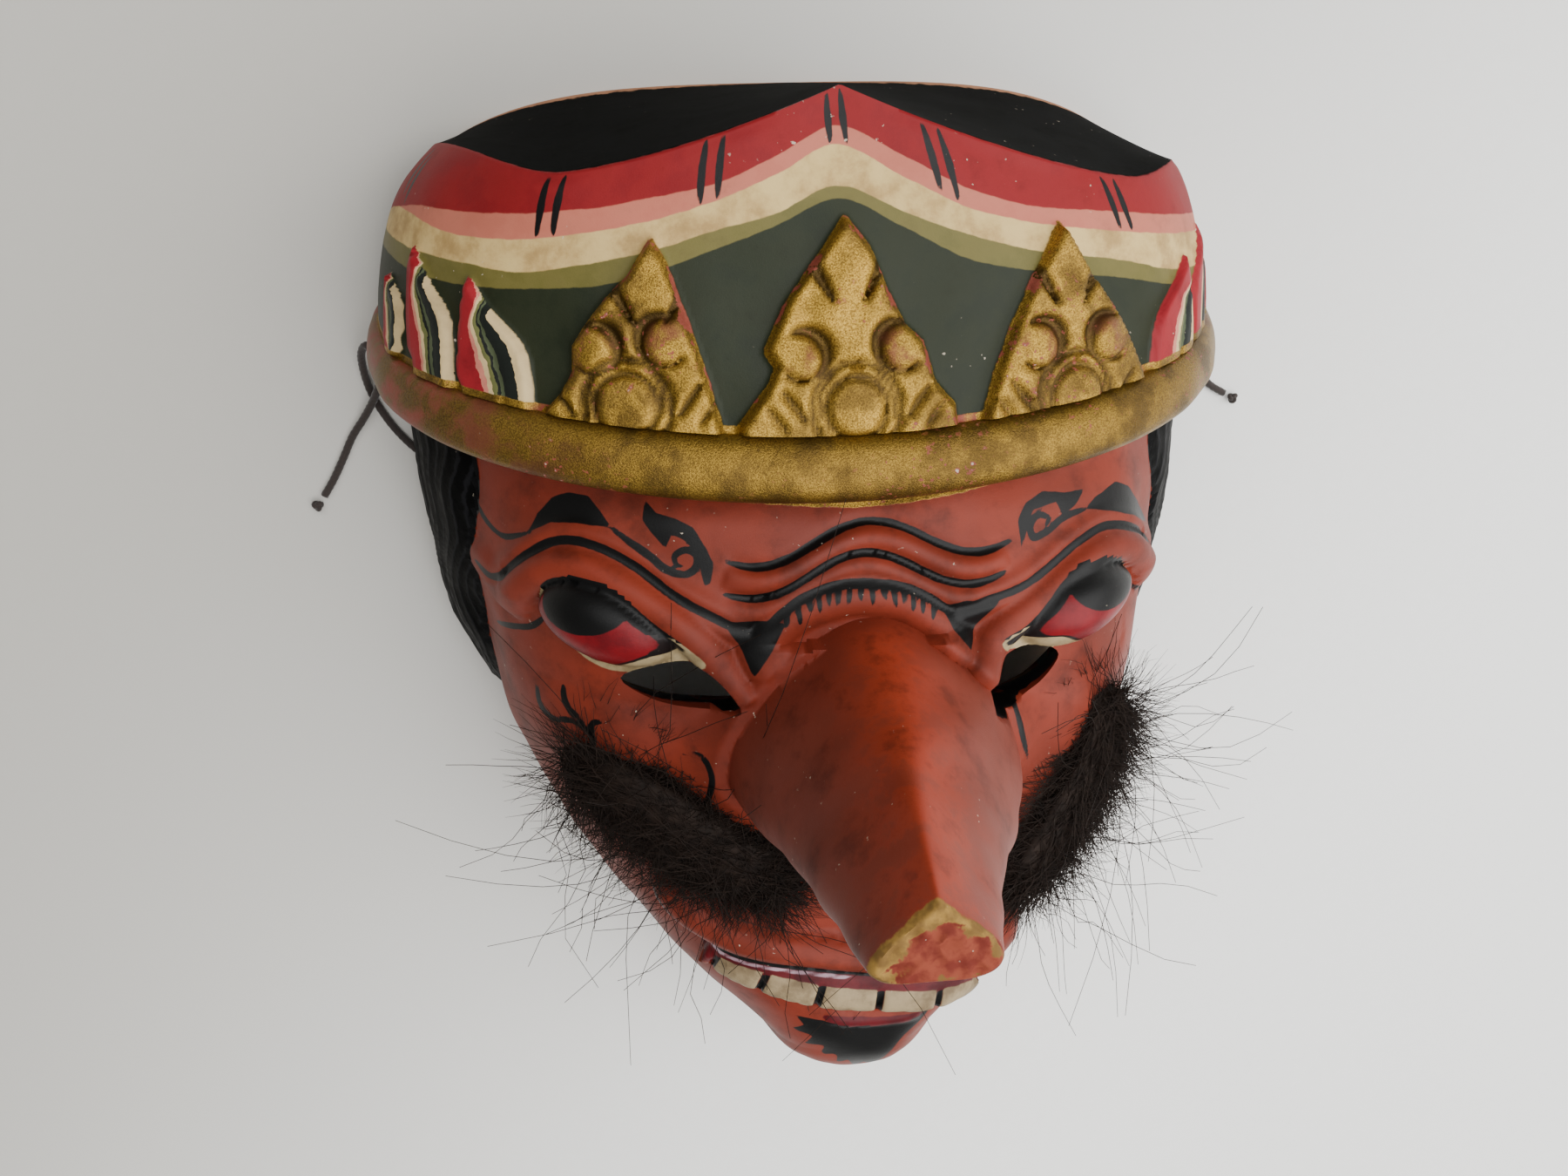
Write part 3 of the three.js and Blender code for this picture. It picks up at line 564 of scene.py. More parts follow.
# Lines and outlines of the face, X and Y in millimetres
FOLDS = (wave(16.8, 3.1, 2.6, 37, -21, 27), wave(12.1, 3.6, 1.5, 36.5, -22, 27))
WRINKLES = (wave(19.4, 3.2, 3.3, 37.5, -20.6, 27.7), wave(14.3, 3.3, 2, 37, -21.2, 26.4))
BROW_LINE = smooth_path((
    (-62.5, 13.2), (-60, 11.6), (-57.8, 12.2), (-54.6, 15.3), (-52, 17.6), (-48.5, 19.8), (-44.8, 20.5),
    (-40, 19.3), (-34.6, 16.3), (-29.2, 12.1), (-23.6, 8.8), (-19.3, 6.3), (-14.6, 6.4), (-11.6, 8.9),
    (-7.9, 11.2), (-2.8, 12.6), (2.9, 12.6), (8.4, 11.6), (12.8, 9.5), (16.6, 7.0), (22.4, 8), (29, 9.7),
    (34.3, 12.4), (40, 15.5), (46.4, 17.2), (53.4, 15), (59.6, 9.8)), 4)
LIDS = tuple(smooth_path(line, 4) for line in (
    ((-58, 5.7), (-54.2, 11.6), (-48.9, 15.5), (-44.4, 16.2), (-39.2, 14.4), (-33.4, 10.6), (-27, 5.3),
     (-21.8, -1.4), (-19.5, -7)),
    ((60, 2.8), (56.6, 8.6), (50.8, 12.7), (44.8, 12.7), (38.6, 10.2), (32.2, 6.1), (26.6, 2.4), (22.4, -2),
     (20.5, -7))))
EYES = ((-40.4, 7.0, -0.38), (40.6, 4.8, 0.26))
EYE_SIZE = (12.0, 7.0)
EYE_OUTLINES = tuple(rounded(np.array(outline, float)) for outline in (
    ((-50.6, 9.6), (-48.6, 13.2), (-45.5, 14.3), (-40.7, 13.8), (-35.8, 11), (-31.8, 7.2), (-27, 3.4),
     (-24.6, 0.6), (-29.4, -0.4), (-35.2, -1.6), (-40.1, -1.7), (-43.8, -0.5), (-47.4, 2.4),
     (-49.7, 6.2)),
    ((33, 6.8), (36.1, 10), (39.8, 11.5), (45.7, 11.6), (50.3, 8.9), (52.4, 4.6), (51, 0.4),
     (45.6, -2.6), (39, -2.9), (33.4, -2.2), (27, -1.0), (25, 0.8), (29.6, 3.2))))
IRISES = ((-42.0, 11.2, 6.8, 4.5), (43.0, 9.2, 7.0, 4.6))
SLITS = tuple(rounded(np.array(outline, float)) for outline in (
    ((-39, -3.4), (-33, -0.6), (-27, 0.2), (-23, -2.4), (-19.4, -8.2), (-26, -8.6), (-34, -7)),
    ((22.2, -8.8), (25, -4.6), (29, -1.9), (34, -1.9), (38, -4.8), (35, -8.6), (30, -11), (25.5, -11.8))))
UNDER_EYE = tuple(smooth_path(line, 4) for line in (
    ((-56, 1), (-50, -1), (-43, -2.6), (-35, -4), (-27, -5), (-20, -8)),
    ((54, -3), (47, -4), (40, -4.5), (33, -6), (27, -8), (22, -11))))
UPPER_LIP = smooth_path((
    (-34.5, -43.5), (-30.5, -51), (-24, -56.2), (-16, -58.8), (-6, -61), (6, -63.6), (18, -66), (29, -67.4),
    (37, -65.5)), 5)
TEETH = smooth_path(((-26.5, -62.6), (-12, -67.7), (0, -70.9), (13, -72.9), (25, -75)), 6)
TEETH_LENGTH = 53
TOOTH_GAPS = (0.04, 0.21, 0.405, 0.62, 0.83)
LOWER_LIP = smooth_path(((-5, -75.6), (1, -77.2), (8, -78), (14, -77.6)), 5)
HAIR_FRONT_Z = profile(((-17.5, 15), (-12, 21), (5, 28), (20, 34), (52, 38)))
HAIR_REAR_Z = profile(((-17.5, 6), (-12, 2.4), (-4, 0.6), (52, 0.6)))
HAIR_BOTTOM_Y = -17.5
HAIR_PROUD = 7.0

# Long nose: sections from the wood behind its root to the blunt tip
NOSE_PLACE = (50, 60, 70, 82, 95, 108, 120, 127)
NOSE = {
    "middle": (1.8, 2.8, 3.4, 3.2, 1.8, 0.2, -0.9, -1.4),
    "top": (9, 7.8, 5, 1.5, -2, -5, -7.5, -9.3),
    "bottom": (-34, -33, -32.5, -31, -28.8, -26, -23, -21),
    "half_width": (31, 29, 27, 23, 18.4, 14.4, 11.4, 9.6),
    "taper": (0.2, 0.2, 0.24, 0.3, 0.34, 0.4, 0.44, 0.46),
}
NOSE_SQUARENESS = 2.3
nose_at = {key: profile(tuple(zip(NOSE_PLACE, sizes))) for key, sizes in NOSE.items()}


def nose_heights(z):
    """Middle and half height of the nose's section at a depth"""
    top = nose_at["top"](z)
    bottom = nose_at["bottom"](z)
    return (top + bottom) / 2, (top - bottom) / 2


def nose_narrowing(z, up):
    return 1 - nose_at["taper"](z) * (up + 0.5) - 0.1 * (up + 0.5) ** 2


def outside_nose(x, y, z):
    """Rough distance from the nose's section at that depth, negative inside it"""
    middle_y, half_height = nose_heights(z)
    up = (y - middle_y) / half_height
    narrow = nose_narrowing(z, np.clip(up, -1, 1))
    across = (x - nose_at["middle"](z)) / (nose_at["half_width"](z) * narrow)
    size = (np.abs(across) ** NOSE_SQUARENESS + np.abs(up) ** NOSE_SQUARENESS) ** (1 / NOSE_SQUARENESS)
    return (size - 1) * half_height


def rolled(apart, width, power=0.5):
    """Rounded ridge across its width, 1 on its line"""
    return np.clip(1 - (apart / (width / 2)) ** 2, 0, 1) ** power


def cut(apart, width):
    return np.exp(-(apart / width) ** 2)


def chisel(apart, width):
    """Straight-sided cut, 1 on its line"""
    return np.clip(1.15 - apart / width, 0, 1)


def ends(along, taper):
    return np.clip(np.minimum(along, 1 - along) / taper, 0, 1) ** 0.5


def uneven(points, scale, seed):
    """Slow unevenness of handwork, about -1 to 1"""
    shift = Vector((seed * 11.3, seed * 5.7, seed * 3.1))
    return np.array([noise.noise(Vector(p) * scale + shift) for p in points]) * 1.8


flat_face = face_grid.reshape(-1, 3)
xy = face_chart.reshape(-1, 2)
x, y = xy.T
z = flat_face[:, 2]
handwork = uneven(flat_face, 0.09, 1)
height = 0.35 * handwork

raised = np.zeros(len(xy))
for line in FOLDS:
    apart, along = to_line(xy, line)[:2]
    raised = np.maximum(raised, 1.5 * ends(along, 0.12) * rolled(apart, 4.6, 0.8))
for line in LIDS:
    apart, along = to_line(xy, line)[:2]
    raised = np.maximum(raised, 3.3 * ends(along, 0.1) * rolled(apart, 6.6, 0.6))
brow_apart = to_line(xy, BROW_LINE)[0]
raised = np.maximum(raised, 1.2 * cut(np.clip(brow_apart - 1.2, 0, None), 1.8) * (np.abs(x) > 17))
bridge = smooth_path(((-16.5, 1), (-12, 6.5), (-6, 9.6), (1, 10.6), (8, 9.4), (13, 6.2), (17.5, 1)), 4)
raised = np.maximum(raised, 2.2 * rolled(to_line(xy, bridge)[0], 7.5, 0.8))
for (eye_x, eye_y, lean), outline in zip(EYES, EYE_OUTLINES):
    turned = np.array([[math.cos(lean), -math.sin(lean)], [math.sin(lean), math.cos(lean)]])
    local = (xy - (eye_x, eye_y)) @ turned
    reach = np.hypot(local[:, 0] / EYE_SIZE[0], local[:, 1] / EYE_SIZE[1])
    ball = 6.4 * np.clip(1 - reach ** 2.4, 0, 1) ** 0.7
    raised = np.maximum(raised, ball * ease(in_outline(xy, outline), -1.2, 0.8))
for line in UNDER_EYE:
    apart, along = to_line(xy, line)[:2]
    raised -= 2.6 * cut(apart, 4.2) * ends(along, 0.2) * (raised < 0.5)
raised += 1.8 * np.exp(-((x + 43) ** 2 / 160 + (y + 15) ** 2 / 90))
raised += 1.8 * np.exp(-((x - 45) ** 2 / 120 + (y + 17) ** 2 / 90))

nose_gap = outside_nose(x, y, np.full_like(x, 62.0))
raised += 3.6 * np.clip(1 - nose_gap / 8, 0, 1) ** 2 * (nose_gap > -3) * (y < 3)

for line in WRINKLES:
    apart, along = to_line(xy, line)[:2]
    height -= 0.6 * cut(apart, 1.1) * ends(along, 0.08)
height -= 0.6 * cut(brow_apart, 1.1) * (np.abs(x) < 57)

lip_apart, lip_along, lip_side = to_line(xy, UPPER_LIP)
lip = 3.6 * ends(lip_along, 0.06) * rolled(lip_apart, np.where(lip_side < 0, 5.4, 8.4), 0.5)
raised = np.maximum(raised, lip)
tooth_apart, tooth_along = to_line(xy, TEETH)[:2]
tooth_rows = 2.7 - 0.7 * np.abs(2 * tooth_along - 1) ** 4
gap_away = np.min([np.abs(tooth_along - place) for place in TOOTH_GAPS], axis=0) * TEETH_LENGTH
tooth_round = 0.84 + 0.16 * np.clip(gap_away / 1.6, 0, 1) ** 0.6
tooth_body = 2.6 * np.clip(1 - (tooth_apart / tooth_rows) ** 6, 0, 1) ** 0.5 * tooth_round
in_teeth = (tooth_along > 0.001) & (tooth_along < 0.999)
raised = np.maximum(raised, tooth_body * in_teeth - 0.9 * cut(gap_away, 0.5) * (tooth_body > 1) * in_teeth)
gum_apart, gum_along = to_line(xy, TEETH + (0, 2.6))[:2]
raised = np.maximum(raised, 2.1 * rolled(gum_apart, 6.5, 0.3) * ends(gum_along, 0.06))
low_apart, low_along = to_line(xy, LOWER_LIP)[:2]
raised = np.maximum(raised, 0.8 * ends(low_along, 0.2) * rolled(low_apart, 3.2))

# Locks of hair on both side walls
hair_depth = np.minimum(HAIR_FRONT_Z(y) - z + 0.7 * np.sin(y / 3.1), 1.5 * (y - HAIR_BOTTOM_Y))
at_side = hair_depth > 0
side_share = np.clip((z - HAIR_REAR_Z(y)) / (HAIR_FRONT_Z(y) - HAIR_REAR_Z(y)), 0, 1)
side_up = (y - HAIR_BOTTOM_Y) / 69.5
fullness = HAIR_PROUD * np.minimum(1, 0.35 + 3 * side_up)
swell = fullness * np.clip(1 - side_share ** 2, 0, 1) ** 0.75 + 0.3
strands = side_share * 3 + 0.25 * np.sin(side_up * 9 + np.sign(x)) + 0.12 * np.sin(side_up * 23)
lock = 0.9 * np.abs(np.sin(np.pi * strands)) ** 0.6 - 0.9 + 0.25 * np.sin(2 * np.pi * strands * 4)
raised = np.where(at_side, swell + lock * (1 - 0.6 * side_share), raised)

near_band = ease(np.repeat(band_low[None, :], len(face_grid), 0).ravel() - y, 0, 1.5)
height = (height * near_band + raised * np.maximum(near_band, at_side)) * ease(y, CHIN_Y, CHIN_Y + 4)
height = np.where(np.isin(np.arange(len(x)) % len(columns), (0, len(columns) - 1)) & ~at_side, 0, height)

# Gilded leaf plates and painted side leaves of the crown; places are length along the wall and Y
ANTEFIXES = (
    {"outline": (
        (-30.6, 68), (-28.6, 65), (-26.6, 60), (-24.8, 54.8), (-23, 48.8), (-21.4, 42.9), (-20, 36),
        (-51, 36), (-49.7, 40.8), (-45.2, 45.2), (-43.1, 48.5), (-42.8, 52.6), (-37.8, 58.9),
        (-33.9, 62.6)),
     "disc": (-34.9, 43.4), "lobes": ((-39.4, 52), (-28.6, 53)), "tip": (-30.6, 68)},
    {"outline": (
        (0, 70.4), (3.6, 65.9), (6.1, 59.5), (8.7, 54.1), (11.5, 51.4), (13.3, 45.2), (16.5, 41.3),
        (17.2, 36), (-17.5, 36), (-17.5, 39.7), (-15.1, 42.6), (-12.6, 45.8), (-11.5, 48.4), (-13, 51),
        (-9.5, 58), (-4.6, 64.3)),
     "disc": (0.6, 41.8), "lobes": ((-7.6, 50), (7.8, 50.9)), "tip": (0, 70.4)},
    {"outline": (
        (36.5, 68.5), (40.6, 61.3), (46.2, 54), (49.7, 48.2), (52.8, 42.2), (57.4, 36), (20.5, 36),
        (21.1, 37.7), (22.4, 41.3), (23.9, 46), (26.9, 52.6), (30.9, 60.3)),
     "disc": (37.5, 41.6), "lobes": ((31, 50), (43.6, 50.4)), "tip": (36.5, 68.5)},
)
ANTEFIX_PROUD = 2.6
LEAF_HALF_WIDTH = profile(((0, 6), (0.35, 6.8), (0.7, 3.6), (1, 0.4)))
LEAVES = (
    (((-56.3, 41.5), (-57.5, 50), (-60, 57.5), (-61.2, 63)), 1, 1.7),
    (((-70, 47), (-70.5, 54), (-73, 61), (-75, 67.7)), 0.82, 1.7),
    (((-83, 53), (-82.5, 57), (-84, 60), (-85.5, 64)), 0.6, 1.4),
    (((61, 41), (62.5, 49), (66, 57), (68, 62)), 0.95, 1.4),
    (((75, 47), (75.5, 54), (77.5, 61), (79, 67)), 0.78, 1),
    (((87, 53), (86.5, 57), (88, 60), (89.5, 64)), 0.6, 1),
)


def arc_line(middle, radius, start, end, steps=14):
    turned = np.radians(np.linspace(start, end, steps))
    return np.array(middle) + radius * np.stack([np.cos(turned), np.sin(turned)], axis=1)


flat_wall = wall_grid.reshape(-1, 3)
sy = wall_chart.reshape(-1, 2)
wall_height = 0.3 * uneven(flat_wall, 0.08, 2)
plate_inside = np.full(len(sy), -50.0)
plate_groove = np.zeros(len(sy))
plate_lobe = np.zeros(len(sy))
for leaf in ANTEFIXES:
    inside = in_outline(sy, leaf["outline"])
    plate_inside = np.maximum(plate_inside, inside)
    near = inside > -1
    here = sy[near]
    tip_s, tip_y = leaf["tip"]
    disc = np.array(leaf["disc"])
    body = ANTEFIX_PROUD * ease(inside[near], -0.6, 0.7)
    relief = 0.3 * uneven(flat_wall[near], 0.22, 3)
    disc_apart = np.linalg.norm(here - disc, axis=1)
    relief += 0.35 * np.clip(1 - (disc_apart / 4.6) ** 2, 0, 1)
    on_upper = here[:, 1] > disc[1] - 4.0
    ring_groove = 0.62 * chisel(np.abs(disc_apart - 4.9), 0.85)
    ring_groove = np.maximum(ring_groove, 0.62 * chisel(np.abs(disc_apart - 7), 0.85) * on_upper)
    grooves = ring_groove
    for side, lobe in zip((-1, 1), leaf["lobes"]):
        lobe_apart = np.linalg.norm(here - lobe, axis=1)
        relief += 0.5 * np.clip(1 - (lobe_apart / 4.2) ** 2, 0, 1)
        plate_lobe[near] = np.maximum(plate_lobe[near], np.clip(1.6 - lobe_apart / 3, 0, 1))
        hook = arc_line(lobe, 3.8, 112 if side < 0 else 68, -135 if side < 0 else 315)
        stem = smooth_path((
            disc + (side * 6.0, -1.5), disc + (side * 5.6, 2.5), disc + (side * 3.6, 5.6),
            np.array(lobe) + (-side * 3.3, -2.8)), 5)
        notch = np.array([(tip_s + side * 5.6, tip_y - 6.8), (tip_s + side * 2.3, tip_y - 12.6)])
        tuft = np.array([disc + (side * 8.2, -1.5), disc + (side * 11.5, 3.0)])
        tuft_low = np.array([disc + (side * 11.2, -3.0), disc + (side * 14.0, 0.6)])
        for line, width, depth in ((stem, 0.85, 0.6), (tuft, 0.95, 0.7), (tuft_low, 0.85, 0.6)):
            apart, along = to_line(here, line)[:2]
            grooves = np.maximum(grooves, depth * chisel(apart, width * (0.6 + 0.4 * ends(along, 0.4))))
        apart, along = to_line(here, hook)[:2]
        crescent = 0.5 + 1.1 * np.clip(1 - np.abs(along - 0.33) / 0.36, 0, 1) ** 0.7
        grooves = np.maximum(grooves, (0.55 + 0.3 * crescent) * chisel(apart, crescent))
        apart, along = to_line(here, notch)[:2]
        grooves = np.maximum(grooves, chisel(apart, 0.35 + 1.2 * (1 - along)) * (along < 0.999))
    relief -= 1.5 * grooves
    wall_height[near] += body + relief * ease(inside[near], 0, 1.2)
    plate_groove[near] = np.maximum(plate_groove[near], grooves)

plate_groove = np.clip(plate_groove, 0, 1)
leaf_inside = np.full(len(sy), -50.0)
leaf_across = np.zeros(len(sy))
for spine, size, proud in LEAVES:
    apart, along, side = to_line(sy, smooth_path(spine, 6))
    half = size * LEAF_HALF_WIDTH(along)
    inside = np.where((along > 0.999) & (apart > half), -apart, half - apart)
    across = -side * apart / half
    across = np.where(along > 0.999, -0.8, across - 1.1 * ease(along, 0.66, 0.9))
    this = inside > leaf_inside
    leaf_inside = np.where(this, inside, leaf_inside)
    leaf_across = np.where(this, across, leaf_across)
    wall_height += proud * ease(inside, -0.1, 0.8)
    wall_height -= 0.5 * cut(across * half - 0.25 * half, 0.5) * (inside > 0.6) * size
leaf_inside = np.where(plate_inside > -0.2, -5, leaf_inside)
wall_height *= np.broadcast_to(ease(1 - wall_shares, 0, 0.06)[:, None], wall_grid.shape[:2]).ravel()


def displaced(grid, amount):
    """Grid raised along its own normals"""
    across = np.gradient(grid, axis=1)
    along = np.gradient(grid, axis=0)
    normal = np.cross(across, along)
    normal /= np.linalg.norm(normal, axis=-1)[..., None] + 1e-9
    return grid + normal * amount.reshape(grid.shape[:2])[..., None]


face_skin = displaced(face_grid, height)
wall_skin = displaced(wall_grid, wall_height)
face_skin[..., 2] = np.maximum(face_skin[..., 2], 0)
wall_skin[..., 2] = np.maximum(wall_skin[..., 2], 0)

# Gilded band: a rounded roll between the face and the crown wall
BAND_PROFILE = (
    (-1.0, 0.12), (-0.97, 0.45), (-0.88, 0.72), (-0.72, 0.9), (-0.5, 1.0), (-0.2, 1.03), (0.1, 1.0),
    (0.35, 0.94), (0.58, 0.84), (0.78, 0.68), (0.92, 0.45), (1.0, 0.15),
)
band_half = band_size(BAND_HALF_HEIGHT, columns)
band_proud = band_size(BAND_PROUD, columns)
band_skin = []
for up, out in BAND_PROFILE:
    level = band_y(columns) + up * band_half
    row = crown_point(columns, level)
    worn = 1 + 0.06 * uneven(row, 0.12, 4)
    band_skin.append(row + crown_outward(columns, level) * (out * band_proud * worn)[:, None])
band_skin = np.array(band_skin)
band_skin[..., 2] = np.maximum(band_skin[..., 2], 0)
under_band = (face_skin[-1] * 2 + band_skin[0]) / 3
under_band_outer = (face_skin[-1] + band_skin[0] * 2) / 3

# Top of the crown, sloping from the scalloped edge back to the rim
front_edge = crown_point(columns, ridge)
top_skin = []
for share in np.concatenate([[0.03], np.linspace(0.1, 1, 13)]):
    row = np.stack([
        front_edge[:, 0],
        front_edge[:, 1] + (back_rim_y(front_edge[:, 0]) - front_edge[:, 1]) * share,
        front_edge[:, 2] * (1 - share)], axis=-1)
    dip = 0.5 * uneven(row, 0.07, 5) * math.sin(math.pi * share)
    row[:, 2] = np.maximum(row[:, 2] + dip * (front_edge[:, 2] > 5), 0)
    top_skin.append(row)

skin = np.concatenate([face_skin, [under_band, under_band_outer], band_skin, wall_skin, top_skin])
row_count, column_count = skin.shape[:2]


def closed_grid(grid):
    """Points and faces of rings joined one to the next, each ring closed, both ends closed by a fan"""
    rings, size = grid.shape[:2]
    points = [*grid.reshape(-1, 3), grid[0].mean(axis=0), grid[-1].mean(axis=0)]
    faces = ring_faces(rings, size)
    last = (rings - 1) * size
    for i in range(size):
        j = (i + 1) % size
        faces.append((j, i, rings * size))
        faces.append((last + i, last + j, rings * size + 1))
    return np.array(points), faces


outer_points, outer_faces = closed_grid(skin)


# The nose grows out of the same block
nose_places = np.concatenate([np.linspace(50, 124, 62), (125, 125.8, 126.3, 126.6)])
nose_sides = 112
ring_angles = around(nose_sides)
nose_rings = []
for place, shrink in zip(nose_places, [1.0] * 62 + [0.995, 0.975, 0.94, 0.9]):
    cosine = np.cos(ring_angles)
    sine = np.sin(ring_angles)
    across = np.sign(cosine) * np.abs(cosine) ** (2 / NOSE_SQUARENESS)
    up = np.sign(sine) * np.abs(sine) ** (2 / NOSE_SQUARENESS)
    middle_y, half_height = nose_heights(place)
    half_width = nose_at["half_width"](place) * nose_narrowing(place, up)
    ring = np.stack([
        nose_at["middle"](place) + half_width * across * shrink,
        middle_y + half_height * up * shrink,
        np.full(nose_sides, place)], axis=-1)
    for _ in range(10):
        ring = (np.roll(ring, 2, axis=0) + np.roll(ring, 1, axis=0) + ring + np.roll(ring, -1, axis=0)
                + np.roll(ring, -2, axis=0)) / 5
    outward = np.stack([cosine, sine, 0 * cosine], axis=-1)
    nose_rings.append(ring + outward * (0.4 * uneven(ring, 0.1, 6) * ease(place, 50, 66))[:, None])
for shrink in (0.82, 0.74, 0.66, 0.58, 0.5, 0.4, 0.28, 0.15):
    centre = nose_rings[65].mean(axis=0)
    ring = centre + (nose_rings[65] - centre) * shrink / 0.9
    ring[:, 2] = 126.7 - 0.7 * np.abs(uneven(ring, 0.35, 7))
    nose_rings.append(ring)
nose_points, nose_faces = closed_grid(np.array(nose_rings))

# The hollow follows the outside and shows the marks of the gouge
hollow_angles = np.linspace(0, np.pi, 64)
hollow_band = band_y(hollow_angles)
hollow_ridge = ridge_y(hollow_angles)
hollow_rows = []
for share in np.concatenate([[0], np.linspace(0.03, 1, 34)]):
    inset = FACE_INSET * (1.6 if share == 0 else 1)
    level = face_start + 1 + (hollow_band - face_start) * share
    hollow_rows.append(face_point(hollow_angles, level, inset))
for share in np.linspace(0, 1, 9):
    level = hollow_band + 7 + (hollow_ridge - CROWN_INSET - hollow_band - 7) * share
    hollow_rows.append(crown_point(hollow_angles, level, CROWN_INSET))
rim_x = crown_point(hollow_angles, hollow_ridge, WALL)[:, 0]
for depth in (0.0, -6.0):
    row = [rim_x * RIM_NARROWING, back_rim_y(rim_x) - WALL, np.full(64, depth)]
    hollow_rows.append(np.stack(row, axis=-1))
hollow_rows = np.array(hollow_rows)
gouge = np.abs(np.sin(hollow_rows[..., 0] / 2.6 + 0.6 * np.sin(hollow_rows[..., 1] / 7))) * 0.5
deep = ease(hollow_rows[..., 2], 4, 12)
hollow_rows[..., 2] -= gouge * deep
floor_points = hollow_rows[:, (-1, 0)].copy()
floor_points[..., 2] = -6
hollow_points, hollow_faces = closed_grid(np.concatenate([hollow_rows, floor_points], axis=1))


# The carving is built in millimetres
MM = 0.001
HOLE_Y = 45.5
HOLE_Z = 8
HOLE_RADIUS = 1.6
HOLE_SIDES = 20
# depth of each ring of a sight slit and its size there; the slit widens toward the hollow
SLIT_RINGS = ((80, 1.0), (66, 1.0), (61, 1.0), (56, 1.0), (50, 1.35), (44, 1.7), (30, 1.7))


def block(name, points, faces):
    """Helper solid for cutting, its normals turned outward"""
    made = link_mesh(name, np.array(points) * MM, faces)
    corners = np.array([points[i] for face in faces for i in (face[0], face[1], face[2])]).reshape(-1, 3, 3)
    if np.einsum("ij,ij->i", corners[:, 0], np.cross(corners[:, 1], corners[:, 2])).sum() < 0:
        made.data.flip_normals()
    return made


blocks = [
    ("UNION", block("nose_block", nose_points, nose_faces)),
    ("DIFFERENCE", block("hollow_block", hollow_points, hollow_faces)),
]
cut_points = [hollow_points]
for number, outline in enumerate(SLITS):
    middle = outline.mean(axis=0)
    rings = np.array([
        np.column_stack([middle + (outline - middle) * size, np.full(len(outline), float(depth))])
        for depth, size in SLIT_RINGS])
    points, faces = closed_grid(rings)
    cut_points.append(points)
    blocks.append(("DIFFERENCE", block(f"slit_block_{number}", points, faces)))
hole_y = HOLE_Y + HOLE_RADIUS * np.cos(around(HOLE_SIDES))
hole_z = HOLE_Z + HOLE_RADIUS * np.sin(around(HOLE_SIDES))
for side in (-1, 1):
    rings = np.array([
        np.stack([np.full(HOLE_SIDES, side * away), hole_y, hole_z], axis=-1)
        for away in (55, 62, 67, 72, 77, 89)])
    points, faces = closed_grid(rings)
    cut_points.append(points)
    blocks.append(("DIFFERENCE", block(f"hole_block_{side}", points, faces)))

carving = block("carving", outer_points, outer_faces)
for operation, other in blocks:
    modifier = carving.modifiers.new(other.name, "BOOLEAN")
    modifier.operation = operation
    modifier.solver = "MANIFOLD"
    modifier.object = other
bpy.context.view_layer.update()
carved = bpy.data.meshes.new_from_object(carving.evaluated_get(bpy.context.evaluated_depsgraph_get()))
carved.name = "mask_wood"
for made in [carving] + [other for _, other in blocks]:
    bpy.data.meshes.remove(made.data)

# Which surface each point of the carved mesh came from
sources = np.concatenate([outer_points, nose_points, *cut_points])
tree_of_points = KDTree(len(sources))
for index, point in enumerate(sources):
    tree_of_points.insert(point, index)
tree_of_points.balance()


def read_all(items, key, size=1, kind=float):
    values = np.empty(len(items) * size, kind)
    items.foreach_get(key, values)
    return values.reshape(-1, size) if size > 1 else values


places = read_all(carved.vertices, "co", 3) / MM
nearest = np.array([tree_of_points.find(p)[1] for p in places])
on_outer = nearest < len(outer_points)
on_nose = (nearest >= len(outer_points)) & (nearest < len(outer_points) + len(nose_points))
on_cut = ~on_outer & ~on_nose
slit_from = len(outer_points) + len(nose_points) + len(cut_points[0])
slit_to = slit_from + len(cut_points[1]) + len(cut_points[2])
in_slit = (nearest >= slit_from) & (nearest < slit_to)
outer_index = np.where(on_outer, nearest, 0)
outer_index = np.where(outer_index >= row_count * column_count, 0, outer_index)
grid_row = outer_index // column_count
grid_column = outer_index % column_count

# Chart place of each outer point, and in which part of the skin it lies
face_row_count = len(face_grid)
band_from = face_row_count
wall_from = face_row_count + 2 + len(band_skin)
top_from = wall_from + len(wall_grid)
chart = np.zeros((row_count, column_count, 2))
chart[:face_row_count] = face_chart
chart[band_from:, :, 0] = column_s
chart[band_from:wall_from, :, 1] = band_y(columns)
chart[wall_from:top_from] = wall_chart
chart[top_from:, :, 1] = skin[top_from:, :, 1]
chart = chart.reshape(-1, 2)[outer_index]
in_face = on_outer & (grid_row < face_row_count)
in_band = on_outer & (grid_row >= band_from) & (grid_row < wall_from)
in_wall = on_outer & (grid_row >= wall_from) & (grid_row < top_from)
in_top = on_outer & (grid_row >= top_from)
chart[on_nose] = places[on_nose, :2]


# Paint
# Oil colours laid over the carving by hand: brick red face, black brush lines, banded crown, gold. Some of
# the black is painted shade: the slits' walls, a band under each upper lid and a line under the upper lip.
# Each colour's place is kept on the points as a distance in millimetres, positive inside the colour.
FAR = -20.0


def fresh():
    return np.full(len(places), FAR)


def stroke(where_it_is, target, line, half_width, taper=0.25):
    """Adds a brush stroke that thins out toward its ends"""
    apart, along = to_line(chart[where_it_is], line)[:2]
    width = half_width * (0.35 + 0.65 * ends(along, taper))
    target[where_it_is] = np.maximum(target[where_it_is], width - apart)


def patch(where_it_is, target, outline):
    target[where_it_is] = np.maximum(target[where_it_is], in_outline(chart[where_it_is], outline))


